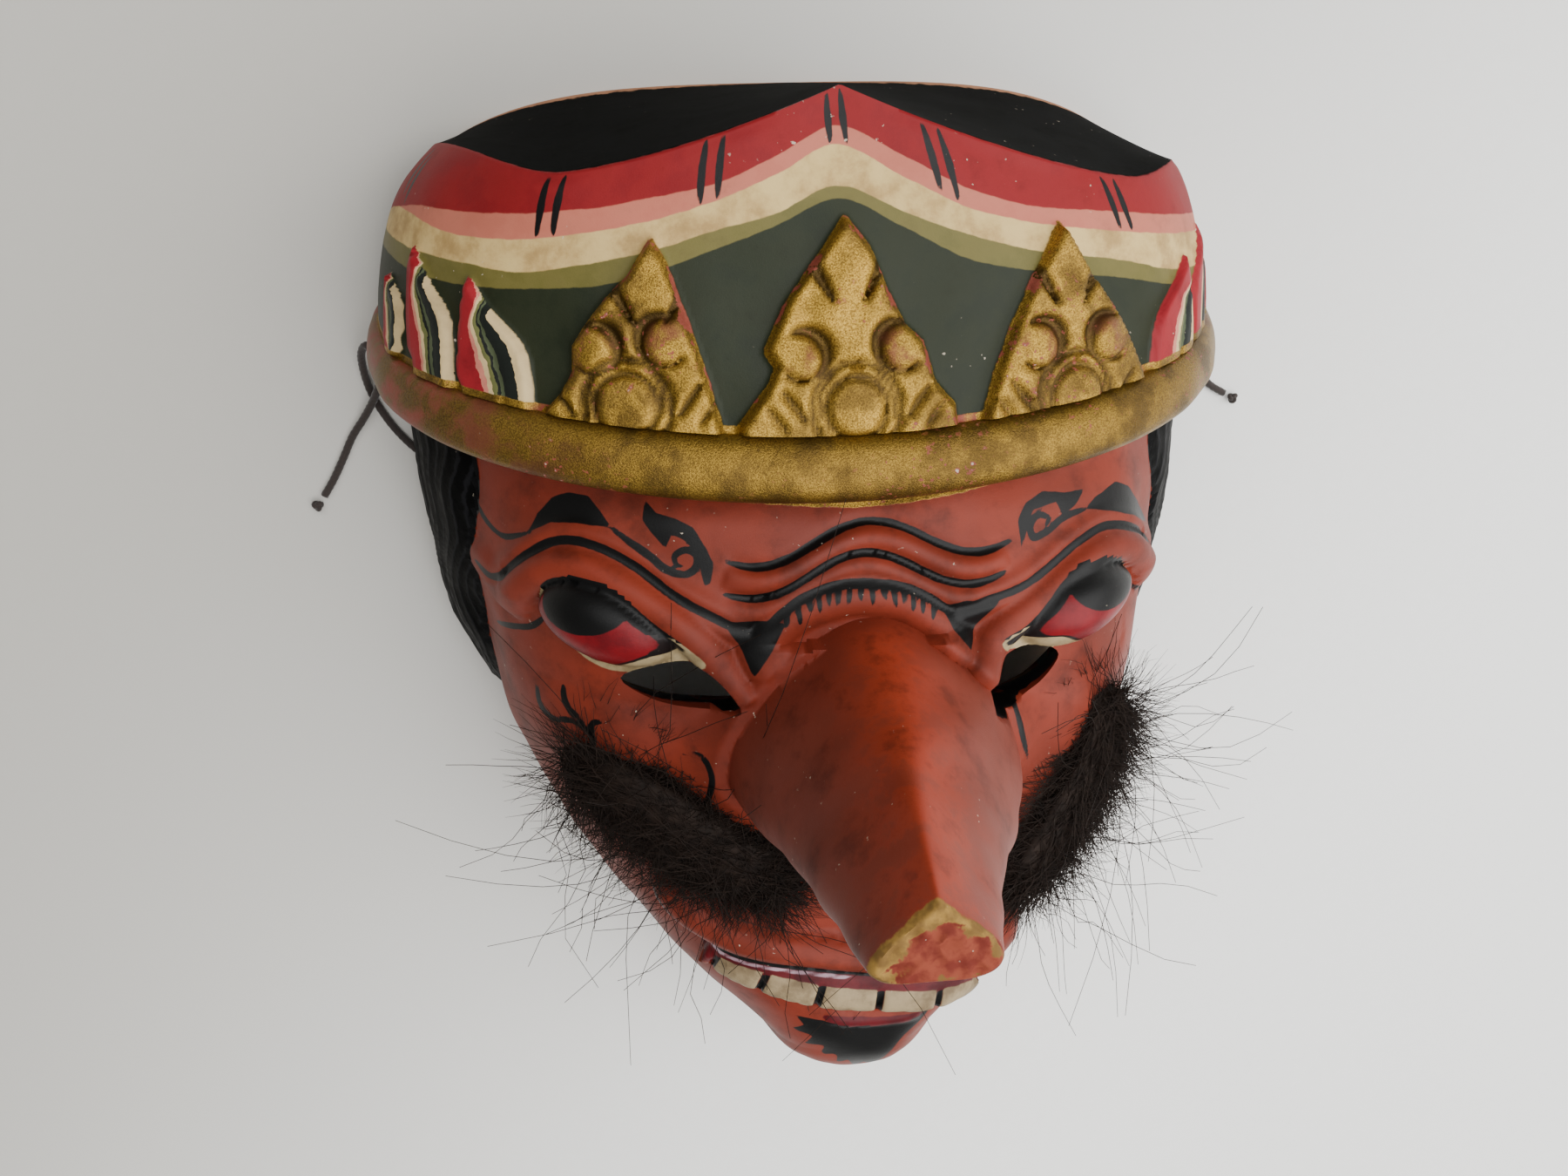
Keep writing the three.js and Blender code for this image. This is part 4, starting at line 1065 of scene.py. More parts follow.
black = fresh()
for line in WRINKLES:
    stroke(in_face, black, line, 0.72, 0.1)
stroke(in_face, black, BROW_LINE, 0.78, 0.05)
for outline in (
    ((-21.6, 7.4), (-15.5, 7.4), (-11.3, 7.2), (-13.2, 3.5), (-16.8, -1.6), (-18.6, 2.5)),
    ((14.8, 7.6), (19, 8.6), (24.6, 7.2), (21.5, 3.6), (19, 0.8), (16.9, 3.6)),
):
    patch(in_face, black, outline)
for outline in (
    ((-52.7, 20.8), (-51, 24.2), (-48.3, 27), (-45.4, 28), (-42.2, 27.5), (-40.2, 25), (-38.6, 22.7),
     (-44.3, 23.2), (-48.6, 23)),
    ((-33.1, 27.2), (-31.3, 25.1), (-28.1, 24.1), (-25.5, 22.8), (-23.7, 19.6), (-22.6, 17), (-23.2, 13.8),
     (-24.2, 13.5), (-24.8, 16.3), (-25.4, 19), (-27.1, 20.8), (-29, 21.8), (-30.2, 19.5), (-32.5, 22.3),
     (-33.6, 24)),
    ((42.6, 20.8), (44.9, 22.3), (49.8, 24.1), (53.1, 22.7), (56.6, 19), (61.1, 13.1), (53.2, 17.4),
     (47.4, 19.6)),
    ((29.5, 15.9), (29.1, 20.6), (30.6, 23.3), (34.1, 24.8), (38.3, 24.1), (42.8, 24.1), (40.7, 21.8),
     (37.9, 20.3), (36.5, 22.8), (32, 22), (30.6, 18.5)),
):
    patch(in_face, black, np.array(outline))
for points, width in (
    (((-38.6, 22.7), (-36, 20.7), (-32.6, 18.3), (-30.1, 16.2), (-26.7, 15.5), (-25.3, 16.8), (-25.3, 18.5),
      (-27, 19.3), (-28.8, 18.3), (-28.6, 17), (-27.6, 16.6)), 0.65),
    (((42.6, 20.8), (37.9, 20), (34.5, 18.2), (31.9, 17.5), (31.3, 19.4), (32.9, 21.1), (35, 20.2),
      (34.3, 19.1)), 0.65),
    (((-49, -6.6), (-48.1, -9.6), (-45, -12.2)), 0.6),
    (((-53.7, -7.7), (-53, -11.2), (-50.6, -13), (-46.9, -12.3), (-44.2, -13.9), (-43.6, -16.7)), 0.6),
    (((-41.4, -11.1), (-43.6, -12.2), (-43.2, -16.3)), 0.55),
    (((-62.5, 24.6), (-60.5, 21), (-57.6, 19.3), (-54.6, 20), (-52, 21)), 0.5),
    (((-60.6, 1.6), (-57, 2.6), (-54, 3.6), (-51.4, 6)), 0.6),
    (((55, 3.6), (58, 1.6), (61, 2.2)), 0.5),
):
    stroke(in_face, black, smooth_path(points, 5), width)
beside_nose = (in_face | on_nose) & (places[:, 2] < 88)
for points in (
    ((-29, -16.5), (-25.6, -16.4), (-24, -19.5), (-24.6, -24), (-26.4, -29)),
    ((27.6, -8.5), (28.2, -13), (29.4, -18), (31.4, -23)),
):
    stroke(beside_nose, black, smooth_path(points, 5), 0.55)
for place in np.linspace(-13, 13.5, 16):
    top = np.interp(place, BROW_LINE[:, 0], BROW_LINE[:, 1])
    tilt = 0.5 * math.sin(place * 3.1)
    lash_end = top - 2.9 - 0.5 * math.cos(place * 2)
    stroke(in_face, black, ((place, top + 0.3), (place + tilt, lash_end)), 0.5, 0.5)
goatee = (
    (-10.5, -75.6), (-4, -76.6), (4, -77.4), (12, -77.2), (16.4, -76.6), (14, -80.4), (11, -83.6),
    (8.4, -87.4), (5.4, -92.6), (3.2, -90.4), (1.8, -93), (0, -88.8), (-2.2, -90), (-2.4, -86.4),
    (-5.6, -87), (-4.8, -83.6), (-8.6, -83.8), (-7, -80.6), (-11.4, -80), (-9, -78))
patch(in_face, black, goatee)
face_index = outer_index[in_face]
black[in_face] = np.maximum(black[in_face], hair_depth[face_index] + 0.7)
# The sight slits' walls are painted black as painted shade, for the dark seen through the slits
black[in_slit] = 3.0

eye = fresh()
eye_red = fresh()
eye_rim = fresh()
for outline, iris, (eye_x, eye_y, lean) in zip(EYE_OUTLINES, IRISES, EYES):
    inside = in_outline(chart[in_face], outline)
    px, py = chart[in_face].T
    toward_nose = (px - eye_x) * -np.sign(eye_x)
    under = py - eye_y + 0.36 * toward_nose
    rim_width = 3.5 * ease(toward_nose, -4, 8) * ease(-under, -1.5, 2) + 0.2
    corner = 1.8 * ease(toward_nose, 6, 13)
    eye[in_face] = np.maximum(eye[in_face], inside + 0.35)
    eye_rim[in_face] = np.maximum(eye_rim[in_face], inside - rim_width)
    eye_red[in_face] = np.maximum(eye_red[in_face], inside - rim_width - 0.55 - corner)
    round_iris = np.hypot((px - iris[0]) / iris[2], (py - iris[1]) / iris[3])
    # The iris, and a black band along each eye's upper edge that is painted shadow of the lid above it
    dark = np.maximum((1 - round_iris) * iris[3], np.where(under > 2.0, 0.9 - np.abs(inside - 0.4), FAR))
    black[in_face] = np.maximum(black[in_face], np.where(inside > -1.0, dark, FAR))

teeth = fresh()
gum = fresh()
pale = fresh()
apart, along = to_line(chart[in_face], TEETH)[:2]
body_rows = 2.5 - 0.7 * np.abs(2 * along - 1) ** 4
between = np.min([np.abs(along - place) for place in TOOTH_GAPS], axis=0) * TEETH_LENGTH
within = (along > 0.03) & (along < 0.999)
teeth[in_face] = np.where(within, np.minimum(body_rows - apart, between - 0.7), FAR)
black[in_face] = np.maximum(black[in_face], np.where(within & (apart < body_rows), 0.7 - between, FAR))
mouth_top = UPPER_LIP[:, 1] - 2.7
mouth = np.concatenate([
    np.stack([UPPER_LIP[:, 0], mouth_top], axis=1)[3:-3], TEETH[::-1] - (0, 0.5)])
patch(in_face, gum, mouth)
stroke(in_face, gum, LOWER_LIP, 1.25, 0.3)
lower_lip = fresh()
stroke(in_face, lower_lip, LOWER_LIP, 1.25, 0.3)
black = np.where(lower_lip > 0, np.minimum(black, -lower_lip), black)
# Black line under the upper lip's edge: painted shadow of the overhanging lip
stroke(in_face, black, np.stack([UPPER_LIP[:, 0], mouth_top - 0.1], axis=1), 0.55, 0.1)
stroke(in_face, pale, np.stack([UPPER_LIP[:, 0], mouth_top - 1.1], axis=1)[4:24], 0.34, 0.1)
stroke(in_face, black, TEETH - (0, 2.8), 0.3, 0.1)

STRIPES = {
    "red": ((-100, 74), (-81.5, 74.3), (-64.5, 73.1), (-52.6, 72.5), (-41.8, 72.9), (-32.2, 74.2),
            (-21.1, 76), (-11.5, 79.7), (-1, 84), (11, 79.2), (22.4, 73.8), (34.4, 71.1), (47.8, 70.1),
            (67.6, 69.1), (100, 69)),
    "pink": ((-100, 76), (-82.7, 73.6), (-63.5, 69.4), (-51.9, 68.7), (-41.3, 69.4), (-31.7, 70.8),
             (-20.8, 73.5), (-11.1, 77.1), (-1, 81.3), (10.7, 76.1), (22.1, 71), (34.1, 68.5),
             (47.1, 67.1), (66.2, 66), (100, 66)),
    "cream": ((-112, 72), (-96, 70.8), (-77.3, 67.6), (-62.9, 65.3), (-51.5, 63.8), (-40.8, 64.8),
              (-31.4, 66.3), (-20.8, 69.2), (-11.1, 71.4), (-1, 75.3), (10.3, 71), (21.4, 67.1),
              (33.6, 64.2), (46.4, 62.8), (64.7, 60.1), (100, 60)),
    "olive": ((-112, 69), (-95, 67.9), (-76.5, 64.1), (-62.7, 61.9), (-51.3, 61.3), (-40.8, 61.4),
              (-31.4, 63.1), (-20.5, 66.5), (-11.1, 69.6), (-1, 73.4), (9.9, 68.8), (21.1, 63.4),
              (33.1, 61.2), (46.2, 59.9), (64.5, 57.7), (100, 57.5)),
}
crown_zone = np.where(in_wall | in_top, 5.0, FAR)
crown_zone[in_band] = np.where(grid_row[in_band] >= band_from + 8, 5.0, FAR)
stripes = {}
for name, pairs in STRIPES.items():
    edge = profile(pairs)
    stripes[name] = fresh()
    stripes[name][in_wall] = chart[in_wall][:, 1] - edge(chart[in_wall][:, 0])
    stripes[name][in_top] = 5.0
black_top = fresh()
black_top[in_wall] = chart[in_wall][:, 1] - ridge[grid_column[in_wall]] - 0.15
black_top[in_top] = np.where(grid_row[in_top] == top_from, 0.3, 5.0)
for place in (-86, -48, -22, -1, 17, 50):
    for twin in (-1.4, 1.4):
        low = float(profile(STRIPES["pink"])(place + twin)) + 0.4
        high = float(np.interp(place + twin, column_s, ridge)) - 0.6
        lean = 0.5 + 0.012 * place
        ends_at = (place + twin + lean, min(low, high - 5.5))
        stroke(in_wall, black, ((place + twin - lean, high), ends_at), 0.75, 0.6)

wall_index = outer_index[in_wall] - wall_from * column_count


def on_wall(values, elsewhere=0.0):
    """Values of the crown wall's grid, brought to the carved points"""
    spread = np.full(len(places), elsewhere)
    spread[in_wall] = values[wall_index]
    return spread


leaf = on_wall(leaf_inside, FAR)
leaf_side = on_wall(leaf_across)
groove = on_wall(plate_groove)
lobe = on_wall(plate_lobe)
plate = on_wall(plate_inside, FAR)
plate[in_band] = 30.0
gold = fresh()
above_band = chart[in_wall][:, 1] - band_high[grid_column[in_wall]]
gold[in_wall] = np.maximum(plate[in_wall] + 0.45, 1.2 - above_band)
gold[in_band] = 3.0
below_band = band_low[grid_column[in_face]] - chart[in_face][:, 1]
smear = 1.3 + 0.9 * np.exp(-((chart[in_face][:, 0] - 12) / 20) ** 2)
gold[in_face] = np.where(at_side[face_index], FAR, smear - below_band)

strand = np.zeros(len(places))
strand[in_face] = np.where(at_side, strands, 0)[face_index]
rim_worn = fresh()
rim_worn[in_top] = 0.7 - (row_count - 1 - grid_row[in_top]) * 1.2
# Share toward the band's ends, used for wear and, reaching much further in on the left, for painted shade
end_wear_and_shade = np.zeros(len(places))
end_wear_and_shade[in_band] = np.maximum(ease(-chart[in_band][:, 0], 34, 80), ease(chart[in_band][:, 0], 72, 100))
tip = np.where(on_nose, places[:, 2] - 125.3, FAR)
tip_depth = -outside_nose(places[:, 0], places[:, 1], np.minimum(places[:, 2], 127.0))
tip_edge = np.where(on_nose, 1.8 - tip_depth + 0.35 * (places[:, 1] + 15) - 0.15 * places[:, 0], FAR)
nose_share = np.where(on_nose, ease(places[:, 2], 60, 74), 0.0)
# Painted highlight: a lighter band along the nose's ridge, set right of the middle toward the window light
ridge_x = 5 - 0.07 * (places[:, 2] - 60)
painted_ridge_highlight = np.where(on_nose, np.exp(-((places[:, 0] - ridge_x) / 8) ** 2), 0.0) * nose_share

for name, values in {
    **stripes,
    "black": black, "eye": eye, "eye_red": eye_red, "eye_rim": eye_rim, "teeth": teeth, "gum": gum,
    "pale": pale, "crown": crown_zone, "black_top": black_top, "leaf": leaf, "leaf_side": leaf_side,
    "gold": gold, "plate": plate,
    "rim_worn": rim_worn, "end_wear_and_shade": end_wear_and_shade, "tip": tip, "tip_edge": tip_edge,
    "groove": groove, "lobe": lobe, "strand": strand, "nose": nose_share, "painted_ridge_highlight": painted_ridge_highlight,
}.items():
    carved.attributes.new(name, "FLOAT", "POINT").data.foreach_set("value", values.astype(np.float32))

mask_paint, tree, where = new_material("mask_paint")


def measured(name):
    return add(tree, "Attribute", {}, attribute_name=name).outputs["Fac"]


wobble = grain(tree, where, 420, 3.0)
fine = grain(tree, where, 3600, 3.0, 0.65)
cloud = grain(tree, where, 55, 4.0)
smudge = grain(tree, where, 130, 5.0, 0.65)
speck = grain(tree, where, 900, 2.0)


def inside_of(name, hand=0.35, soft=0.14):
    """Mask of a colour with a hand-drawn edge"""
    shifted = calc(tree, "MULTIPLY_ADD", wobble, 2 * hand, measured(name))
    return ramp_to(tree, shifted, hand - soft, hand + soft)


def toward(share, level, so_far):
    """A number that goes from its value so far to a level by a share"""
    return calc(tree, "MULTIPLY_ADD", share, calc(tree, "SUBTRACT", level, so_far), so_far)


def part_of(share, amount):
    return calc(tree, "MULTIPLY", share, amount)


colour = blend(tree, ramp_to(tree, cloud, 0.35, 0.7), srgb(124, 46, 30), srgb(104, 39, 26))
colour = blend(tree, part_of(measured("nose"), 0.5), colour, srgb(108, 54, 42))
# Painted highlight along the nose ridge, broken into brush-like patches by the smudge pattern
ridge_highlight_share = part_of(measured("painted_ridge_highlight"), ramp_to(tree, smudge, 0.4, 0.55, 0.4, 0.95))
colour = blend(tree, ridge_highlight_share, colour, srgb(160, 56, 32))
dark_patch = part_of(ramp_to(tree, smudge, 0.46, 0.7), 0.42)
colour = blend(tree, dark_patch, colour, srgb(88, 36, 24))
gloss = 0.5
LAYERS = (
    ("crown", (28, 34, 19), (37, 42, 25), 0.5),
    ("olive", (94, 88, 42), (108, 100, 52), 0.45),
    ("cream", (204, 176, 116), (178, 146, 92), 0.56),
    ("pink", (176, 100, 82), (186, 110, 90), 0.55),
    ("red", (120, 20, 25), (134, 26, 29), 0.56),
    ("black_top", (11, 12, 12), (15, 16, 15), 0.75),
    ("eye", (170, 152, 116), (140, 122, 88), 0.4),
    ("eye_rim", (22, 18, 18), (30, 24, 24), 0.3),
    ("eye_red", (120, 15, 23), (98, 12, 20), 0.38),
    ("gum", (92, 18, 24), (72, 14, 20), 0.45),
    ("pale", (176, 150, 160), (150, 120, 130), 0.4),
    ("teeth", (156, 138, 106), (120, 102, 76), 0.55),
)
for name, first, second, rough in LAYERS:
    mask = inside_of(name, 0.22)
    hand_colour = blend(tree, ramp_to(tree, smudge, 0.35, 0.65), srgb(*first), srgb(*second))
    colour = blend(tree, mask, colour, hand_colour)
    gloss = toward(mask, rough, gloss)

leaf_place = calc(tree, "MULTIPLY_ADD", measured("leaf_side"), 0.5, 0.44)
leaf_place = calc(tree, "MULTIPLY_ADD", wobble, 0.12, leaf_place)
leaf_ramp = add(tree, "ValToRGB", {"Fac": leaf_place})
leaf_ramp.color_ramp.interpolation = "CONSTANT"
LEAF_BANDS = (
    (0.0, (140, 28, 36)), (0.37, (196, 122, 104)), (0.43, (196, 172, 126)), (0.5, (96, 98, 56)),
    (0.56, (24, 26, 22)), (0.6, (74, 82, 58)), (0.66, (24, 28, 24)), (0.84, (196, 172, 126)),
)
elements = leaf_ramp.color_ramp.elements
for number, (place, rgb) in enumerate(LEAF_BANDS):
    element = elements[number] if number < 2 else elements.new(place)
    element.position = place
    element.color = srgb(*rgb)
colour = blend(tree, inside_of("leaf", 0.15), colour, leaf_ramp.outputs["Color"])

black_mask = inside_of("black", 0.16, 0.1)
strand_turn = calc(tree, "MULTIPLY_ADD", measured("strand"), 25.0, part_of(wobble, 4.0))
strand_wave = calc(tree, "SINE", strand_turn)
in_hair = ramp_to(tree, measured("strand"), 0.01, 0.03)
# Painted highlights: lighter stripes along the hair locks' strands within the black
painted_strand_highlight = part_of(in_hair, ramp_to(tree, strand_wave, 0.2, 1.0))
black_colour = blend(tree, painted_strand_highlight, srgb(12, 12, 12), srgb(27, 27, 29))
colour = blend(tree, black_mask, colour, black_colour)
gloss = toward(black_mask, 0.4, gloss)

gold_mask = inside_of("gold", 0.35, 0.12)
gold_colour = blend(tree, ramp_to(tree, fine, 0.34, 0.66), srgb(112, 84, 32), srgb(178, 142, 58))
gold_colour = blend(tree, ramp_to(tree, smudge, 0.42, 0.62, 0, 0.65), gold_colour, srgb(84, 64, 32))
# Painted shade: the gold is darkened in the plates' carved grooves
groove_shade = ramp_to(tree, measured("groove"), 0.1, 0.7)
gold_colour = blend(tree, part_of(groove_shade, 0.85), gold_colour, srgb(54, 40, 20))
# Painted shade: the band's gold is made darker than the plates'
band_shade = ramp_to(tree, measured("plate"), 18, 24)
gold_colour = blend(tree, part_of(band_shade, 0.45), gold_colour, srgb(78, 60, 26))
# The gold darkened toward the band's ends, much further in on the left than the right: wear, and painted
# shade on the shaded left side
gold_colour = blend(tree, part_of(measured("end_wear_and_shade"), 0.5), gold_colour, srgb(66, 50, 38))
# red primer where the gold is rubbed off: specks, the band's ends, the lobes and the plates' rims
plate_rim = ramp_to(tree, calc(tree, "MULTIPLY_ADD", smudge, -12.0, measured("plate")), -6.8, -6.4, 1, 0)
primer = part_of(ramp_to(tree, speck, 0.6, 0.68), ramp_to(tree, cloud, 0.48, 0.6))
for bare in (
    part_of(measured("end_wear_and_shade"), ramp_to(tree, smudge, 0.4, 0.6)),
    part_of(ramp_to(tree, measured("lobe"), 0.2, 1.0), ramp_to(tree, smudge, 0.48, 0.6, 0, 0.5)),
    part_of(plate_rim, ramp_to(tree, measured("plate"), -3, -1)),
):
    primer = calc(tree, "MAXIMUM", primer, bare)
gold_colour = blend(tree, primer, gold_colour, srgb(134, 66, 52))
colour = blend(tree, gold_mask, colour, gold_colour)
bright_metal = part_of(gold_mask, calc(tree, "SUBTRACT", 1.0, primer))
gloss = toward(gold_mask, 0.38, gloss)

broken = calc(tree, "MULTIPLY_ADD", smudge, 9.0, -4.5)
tip_mask = ramp_to(tree, calc(tree, "MULTIPLY_ADD", broken, 0.45, measured("tip")), -0.3, 0.2)
tip_colour = blend(tree, ramp_to(tree, wobble, 0.35, 0.6), srgb(104, 38, 28), srgb(130, 60, 42))
ochre = blend(tree, ramp_to(tree, wobble, 0.35, 0.65), srgb(154, 120, 58), srgb(112, 84, 42))
ochre_edge = calc(tree, "MULTIPLY_ADD", wobble, 9.0, calc(tree, "SUBTRACT", measured("tip_edge"), 4.5))
tip_colour = blend(tree, ramp_to(tree, ochre_edge, -0.4, 0.4), tip_colour, ochre)
colour = blend(tree, tip_mask, colour, tip_colour)
gloss = toward(tip_mask, 0.8, gloss)
colour = blend(tree, inside_of("rim_worn", 0.5), colour, srgb(176, 128, 98))
chips = part_of(ramp_to(tree, speck, 0.72, 0.76), ramp_to(tree, cloud, 0.5, 0.62))
colour = blend(tree, part_of(chips, 0.8), colour, srgb(196, 184, 164))
dirt = ramp_to(tree, smudge, 0.45, 0.8, 0, 0.35)
colour = blend(tree, dirt, colour, srgb(70, 54, 40), "MULTIPLY")

dull_black = calc(tree, "MAXIMUM", inside_of("black_top"), in_hair)
surface = add(tree, "BsdfPrincipled", {
    "Base Color": colour, "Metallic": part_of(bright_metal, 0.75),
    "Specular IOR Level": calc(tree, "MULTIPLY_ADD", dull_black, -0.18, 0.2),
    "Roughness": calc(tree, "MULTIPLY_ADD", smudge, 0.16, calc(tree, "SUBTRACT", gloss, 0.06)),
})
grit = calc(tree, "MULTIPLY_ADD", fine, calc(tree, "MULTIPLY_ADD", gold_mask, 1.5, 0.3), smudge)
grit = calc(tree, "MULTIPLY_ADD", part_of(strand_wave, in_hair), 0.6, grit)
finish_material(tree, surface, grit, 0.4, 0.0002)

bare_wood, tree, where = new_material("bare_wood")
along_grain = add(tree, "Mapping", {"Vector": where, "Scale": (1.0, 0.12, 1.0)}).outputs["Vector"]
rings_of_growth = grain(tree, along_grain, 700, 5.0, 0.6)
wood_colour = blend(tree, rings_of_growth, srgb(96, 68, 44), srgb(150, 114, 78))
wood_colour = blend(
    tree, ramp_to(tree, grain(tree, where, 60, 3.0), 0.4, 0.7, 0, 0.7), wood_colour, srgb(66, 46, 32))
surface = add(tree, "BsdfPrincipled", {"Base Color": wood_colour, "Roughness": 0.72})
finish_material(tree, surface, rings_of_growth, 0.4, 0.0002)

carved.materials.clear()
carved.materials.append(mask_paint)
carved.materials.append(bare_wood)
corner_total = read_all(carved.polygons, "loop_total", kind=int)
loop_points = read_all(carved.loops, "vertex_index", kind=int)
owner = np.repeat(np.arange(len(carved.polygons)), corner_total)
cut_share = np.bincount(owner, weights=(on_cut & ~in_slit)[loop_points]) / corner_total
facing = read_all(carved.polygons, "normal", 3)[:, 2]
at_rim = (facing < -0.85) & (read_all(carved.polygons, "center", 3)[:, 2] < 0.005)
carved.polygons.foreach_set("material_index", ((cut_share > 0.5) | at_rim).astype(np.int32))
carved.polygons.foreach_set("use_smooth", [True] * len(carved.polygons))
carved.set_sharp_from_angle(angle=math.radians(75))
mask = bpy.data.objects.new("mask_wood", carved)
bpy.context.scene.collection.objects.link(mask)
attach(mask, "root")
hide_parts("mask")


# Moustache
# Two tufts of coarse dark hair, glued beside and under the nose, frizzy and with long stray hairs.
MOUSTACHES = {
    "moustache_left": (
        ((-47, -17), (-41, -24), (-32, -31), (-22, -38.5), (-12, -44)),
        ((0, 3), (0.25, 7.5), (0.6, 8.5), (0.85, 7), (1, 3.5))),
    "moustache_right": (
        ((47.5, -13.5), (48.5, -24), (45, -36), (38, -46.5), (31, -53.5)),
        ((0, 2.5), (0.3, 6.5), (0.6, 8), (0.85, 6.5), (1, 3.5))),
}
PAD_THICKNESS = 6.0
HAIR_RADIUS = 0.085
HAIR_STEPS = 7
# count, shortest and longest, spread of heading, lift: most lie along the tuft, some stand off, a few stray
HAIR_KINDS = ((2900, (7, 15), 0.7, 0.9), (1300, (6, 14), 1.4, 1.6), (120, (13, 31), 1.3, 4.5))
STRAY_LIFT = 4
rng = np.random.default_rng(7)


def face_z(x, y):
    across = np.minimum(0.995, np.abs((x - chin_lean(y)) / face_half_width(y)))
    return face_depth(y) * (1 - across ** FACE_SQUARENESS) ** (1 / FACE_SQUARENESS)


def on_face(x, y, height):
    slope_x = face_z(x + 0.5, y) - face_z(x - 0.5, y)
    slope_y = face_z(x, y + 0.5) - face_z(x, y - 0.5)
    normal = np.stack([-slope_x, -slope_y, np.ones_like(slope_x)], axis=-1)
    normal /= np.linalg.norm(normal, axis=-1)[..., None]
    return np.stack([x, y, face_z(x, y)], axis=-1) + normal * np.asarray(height)[..., None], normal


hair_material, tree, where = new_material("dark_hair")
tone = grain(tree, where, 500, 2.0)
hair_colour = blend(tree, tone, srgb(10, 8, 7), srgb(44, 32, 25))
surface = add(
    tree, "BsdfPrincipled", {"Base Color": hair_colour, "Roughness": 0.7, "Specular IOR Level": 0.15})
finish_material(tree, surface)


def pad_place(tuft, u, v):
    """Place on the face, direction along the tuft and direction across it"""
    spine, spine_marks, half_width = tuft
    middle = np.stack([np.interp(v, spine_marks, spine[:, k]) for k in (0, 1)], axis=-1)
    ahead = np.stack([
        np.interp(v + 0.02, spine_marks, spine[:, k]) - np.interp(v - 0.02, spine_marks, spine[:, k])
        for k in (0, 1)], axis=-1)
    ahead /= np.linalg.norm(ahead, axis=-1)[..., None]
    reach = u * half_width(v)
    out = np.stack([ahead[..., 1], -ahead[..., 0]], axis=-1)
    return middle + out * reach[..., None], ahead, out


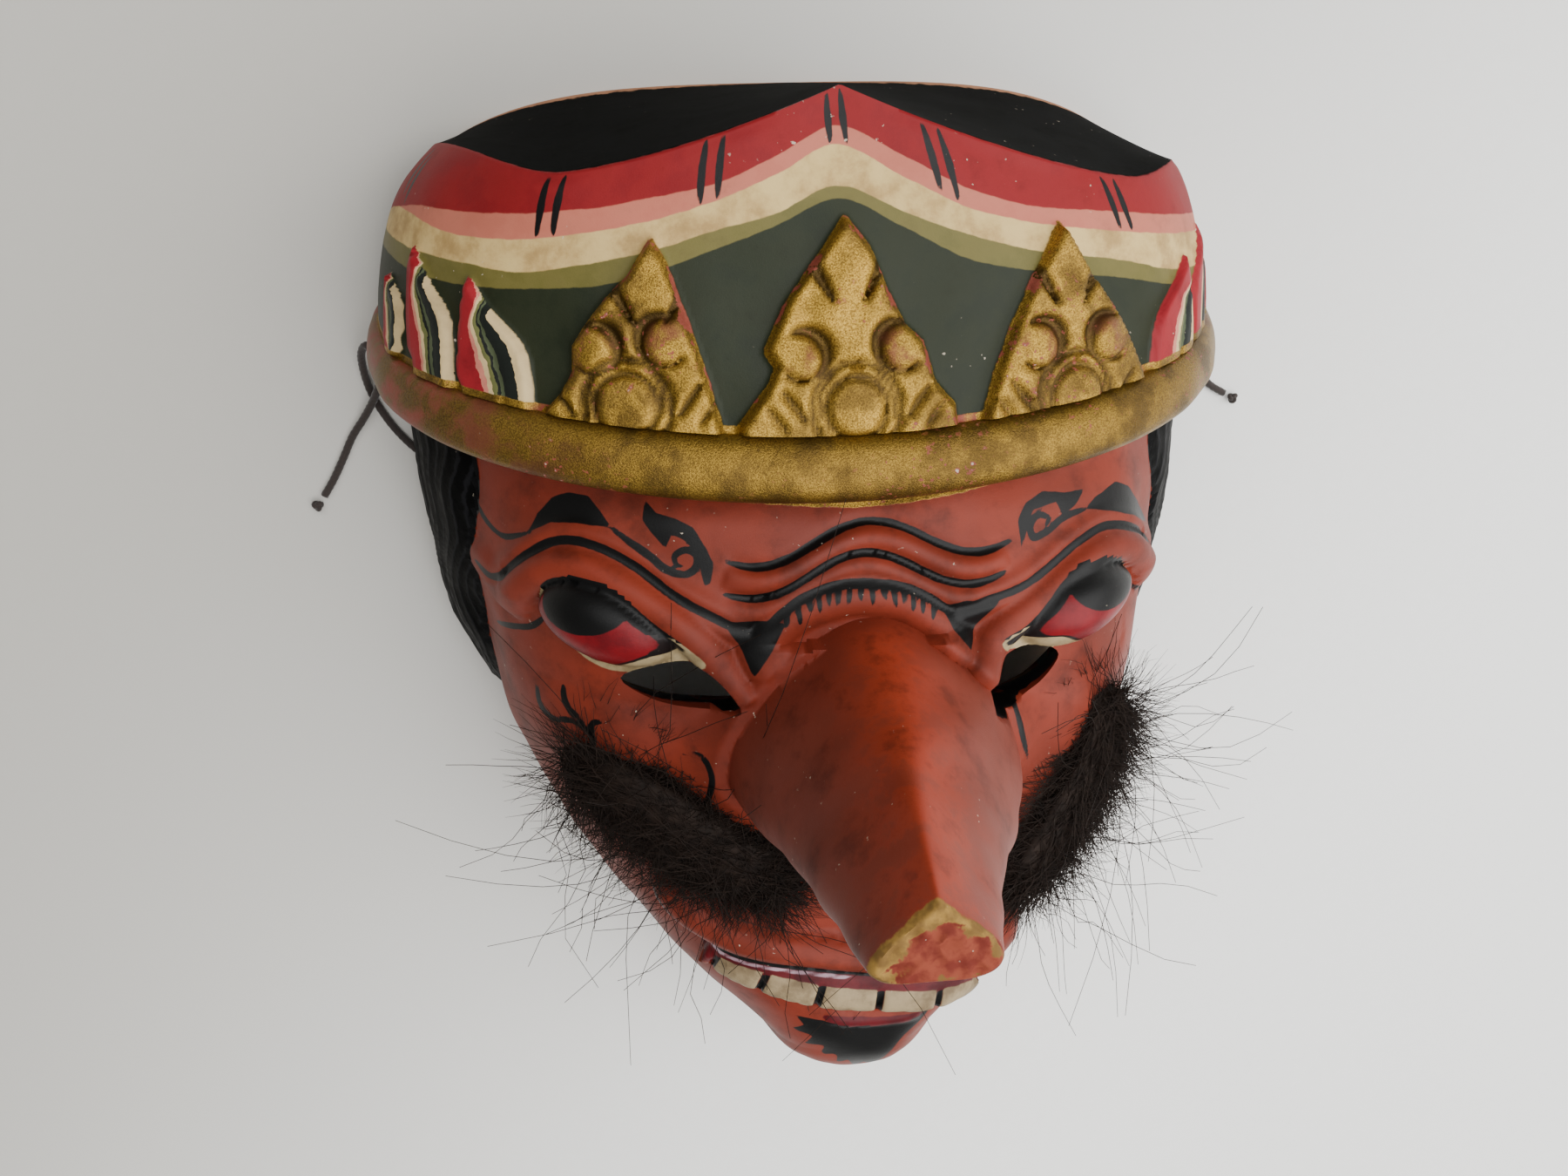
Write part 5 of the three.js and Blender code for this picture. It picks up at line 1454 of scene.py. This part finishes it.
hair_faces = ring_faces(HAIR_STEPS, 3)
for name, (spine_points, widths) in MOUSTACHES.items():
    spine = smooth_path(spine_points, 10)
    spine_marks = marks_along(spine)
    spine_marks /= spine_marks[-1]
    tuft_form = (spine, spine_marks, profile(widths))

    # matted core of the tuft
    core_rings = []
    for v in np.linspace(0.02, 0.98, 26):
        ring = []
        for u in np.linspace(-0.86, 0.86, 16):
            px, py = pad_place(tuft_form, np.array(u), np.array(v))[0]
            domed = math.sqrt(max(0.0, 1 - u * u))
            high = 0.9 + (PAD_THICKNESS - 1.8) * domed * min(1, 6 * v, 6 * (1 - v)) ** 0.5
            ring.append(on_face(px, py, high)[0])
        for u in (0.8, 0.0, -0.8):
            px, py = pad_place(tuft_form, np.array(u), np.array(v))[0]
            ring.append(on_face(px, py, 0.75)[0])
        core_rings.append(ring)
    core_points, core_faces = closed_grid(np.array(core_rings))

    points = []
    faces = []
    for count, (short, long_one), spread, lift in HAIR_KINDS:
        stray = lift > STRAY_LIFT
        u = rng.uniform(-0.97, 0.97, count)
        v = rng.beta(1.2, 1.2, count)
        base_at, ahead, out = pad_place(tuft_form, u, v)
        top = 0.7 + (PAD_THICKNESS - 0.8) * np.sqrt(1 - u ** 2) * rng.uniform(0.25, 1.0, count)
        root, normal = on_face(base_at[:, 0], base_at[:, 1], top)
        swing = rng.normal(0, spread, count)
        heading = ahead * np.cos(swing)[:, None] + out * np.sin(swing)[:, None]
        heading *= np.where(rng.random(count) < 0.82, 1, -1)[:, None]
        if stray:
            away = out * np.sign(u)[:, None] * rng.uniform(0.4, 1.2, count)[:, None]
            heading = heading * 0.7 + away
        rise = rng.uniform(-0.1, 0.12 * lift, count)[:, None]
        direction = np.concatenate([heading, np.zeros((count, 1))], axis=1) + normal * rise
        direction /= np.linalg.norm(direction, axis=1)[:, None]
        sideways = np.cross(direction, normal)
        size = rng.uniform(short, long_one, count)
        bow = rng.normal(0, 1.0 if stray else 0.22, count)
        curl = rng.uniform(0.15, 0.8, count) * (2.8 if stray else 1)
        phase = rng.uniform(0, 6.3, count)
        waves = rng.uniform(0.6, 1.8, count)
        lines = []
        for k in range(HAIR_STEPS):
            t = k / (HAIR_STEPS - 1)
            gone = (size * t)[:, None]
            line = root + direction * gone + sideways * (gone * t * bow[:, None])
            line += sideways * (curl * np.sin(phase + waves * 6.3 * t))[:, None] * min(1, 3 * t)
            line += normal * (curl * np.cos(phase + waves * 5.0 * t))[:, None] * min(1, 3 * t) * 0.7
            if not stray:
                line[:, 2] -= 0.012 * gone[:, 0] ** 2
            inside = np.abs((line[:, 0] - chin_lean(line[:, 1])) / face_half_width(line[:, 1])) < 0.97
            skin_z = face_z(line[:, 0], line[:, 1]) + 0.9
            line[:, 2] = np.where(inside, np.maximum(line[:, 2], skin_z), line[:, 2])
            lines.append(line)
        lines = np.stack(lines, axis=1)
        along = np.gradient(lines, axis=1)
        along /= np.linalg.norm(along, axis=2)[..., None] + 1e-9
        first_side = np.cross(along, normal[:, None, :] + 0.01)
        first_side /= np.linalg.norm(first_side, axis=2)[..., None] + 1e-9
        second_side = np.cross(along, first_side)
        for hair in range(count):
            start = len(points)
            for k in range(HAIR_STEPS):
                thin = HAIR_RADIUS * (1 - (0.3 if stray else 0.75) * (k / (HAIR_STEPS - 1)) ** 2)
                for corner in range(3):
                    turned = 2 * math.pi * corner / 3
                    points.append(
                        lines[hair, k] + first_side[hair, k] * thin * math.cos(turned)
                        + second_side[hair, k] * thin * math.sin(turned))
            faces.extend(tuple(i + start for i in face) for face in hair_faces)
    shift = len(core_points)
    all_points = np.concatenate([core_points, np.array(points)]) * MM
    all_points[:, 2] = np.maximum(all_points[:, 2], 0.0004)
    all_faces = list(core_faces) + [tuple(i + shift for i in face) for face in faces]
    tuft = link_mesh(name + "_hair", all_points, all_faces, [hair_material])
    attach(tuft, "root")
    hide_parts(name)


# Table
# A pale sheet that the mask lies on, under a large soft window light; its colour is painted lighter toward
# the window, as painted light.
TABLE_REACH = 3
table_material, tree, where = new_material("table")
fibres = grain(tree, where, 300, 4.0)
across = add(tree, "VectorMath", {0: where, 1: (1.3, -1.0, 0.0)}, operation="DOT_PRODUCT").outputs["Value"]
# Painted light: the sheet's colour is lighter toward the window at the lower right
painted_window_light = ramp_to(tree, across, -0.24, 0.26)
sheet = blend(tree, painted_window_light, srgb(182, 179, 172), srgb(255, 255, 252))
sheet = blend(tree, calc(tree, "MULTIPLY", fibres, 0.12), sheet, srgb(200, 198, 190))
surface = add(tree, "BsdfPrincipled", {"Base Color": sheet, "Roughness": 0.7, "Specular IOR Level": 0.2})
finish_material(tree, surface, fibres, 0.1)
corners = [(x * TABLE_REACH, y * TABLE_REACH, 0) for x, y in ((-1, -1), (1, -1), (1, 1), (-1, 1))]
table = link_mesh("table", corners, [(0, 1, 2, 3)], [table_material], smooth=False)
table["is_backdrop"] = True

world = bpy.data.worlds.new("room")
world.use_nodes = True
sky = world.node_tree.nodes["Background"].inputs
sky["Color"].default_value = srgb(242, 239, 234)
sky["Strength"].default_value = 0.22
bpy.context.scene.world = world
for name, place, aim, size, power in (
    ("window", (0.62, -0.08, 0.9), (0.03, -0.02, 0), 1.5, 31),
    ("ceiling", (-0.2, 0.55, 1.2), (0, 0, 0), 1.0, 7),
    ("far_wall", (-0.3, -0.9, 1.3), (0, 0, 0), 1.2, 3),
):
    light_data = bpy.data.lights.new(name, "AREA")
    light_data.size = size
    light_data.energy = power
    light = bpy.data.objects.new(name, light_data)
    bpy.context.scene.collection.objects.link(light)
    light.location = place
    light.rotation_euler = (Vector(aim) - Vector(place)).to_track_quat("-Z", "Y").to_euler()

low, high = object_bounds()
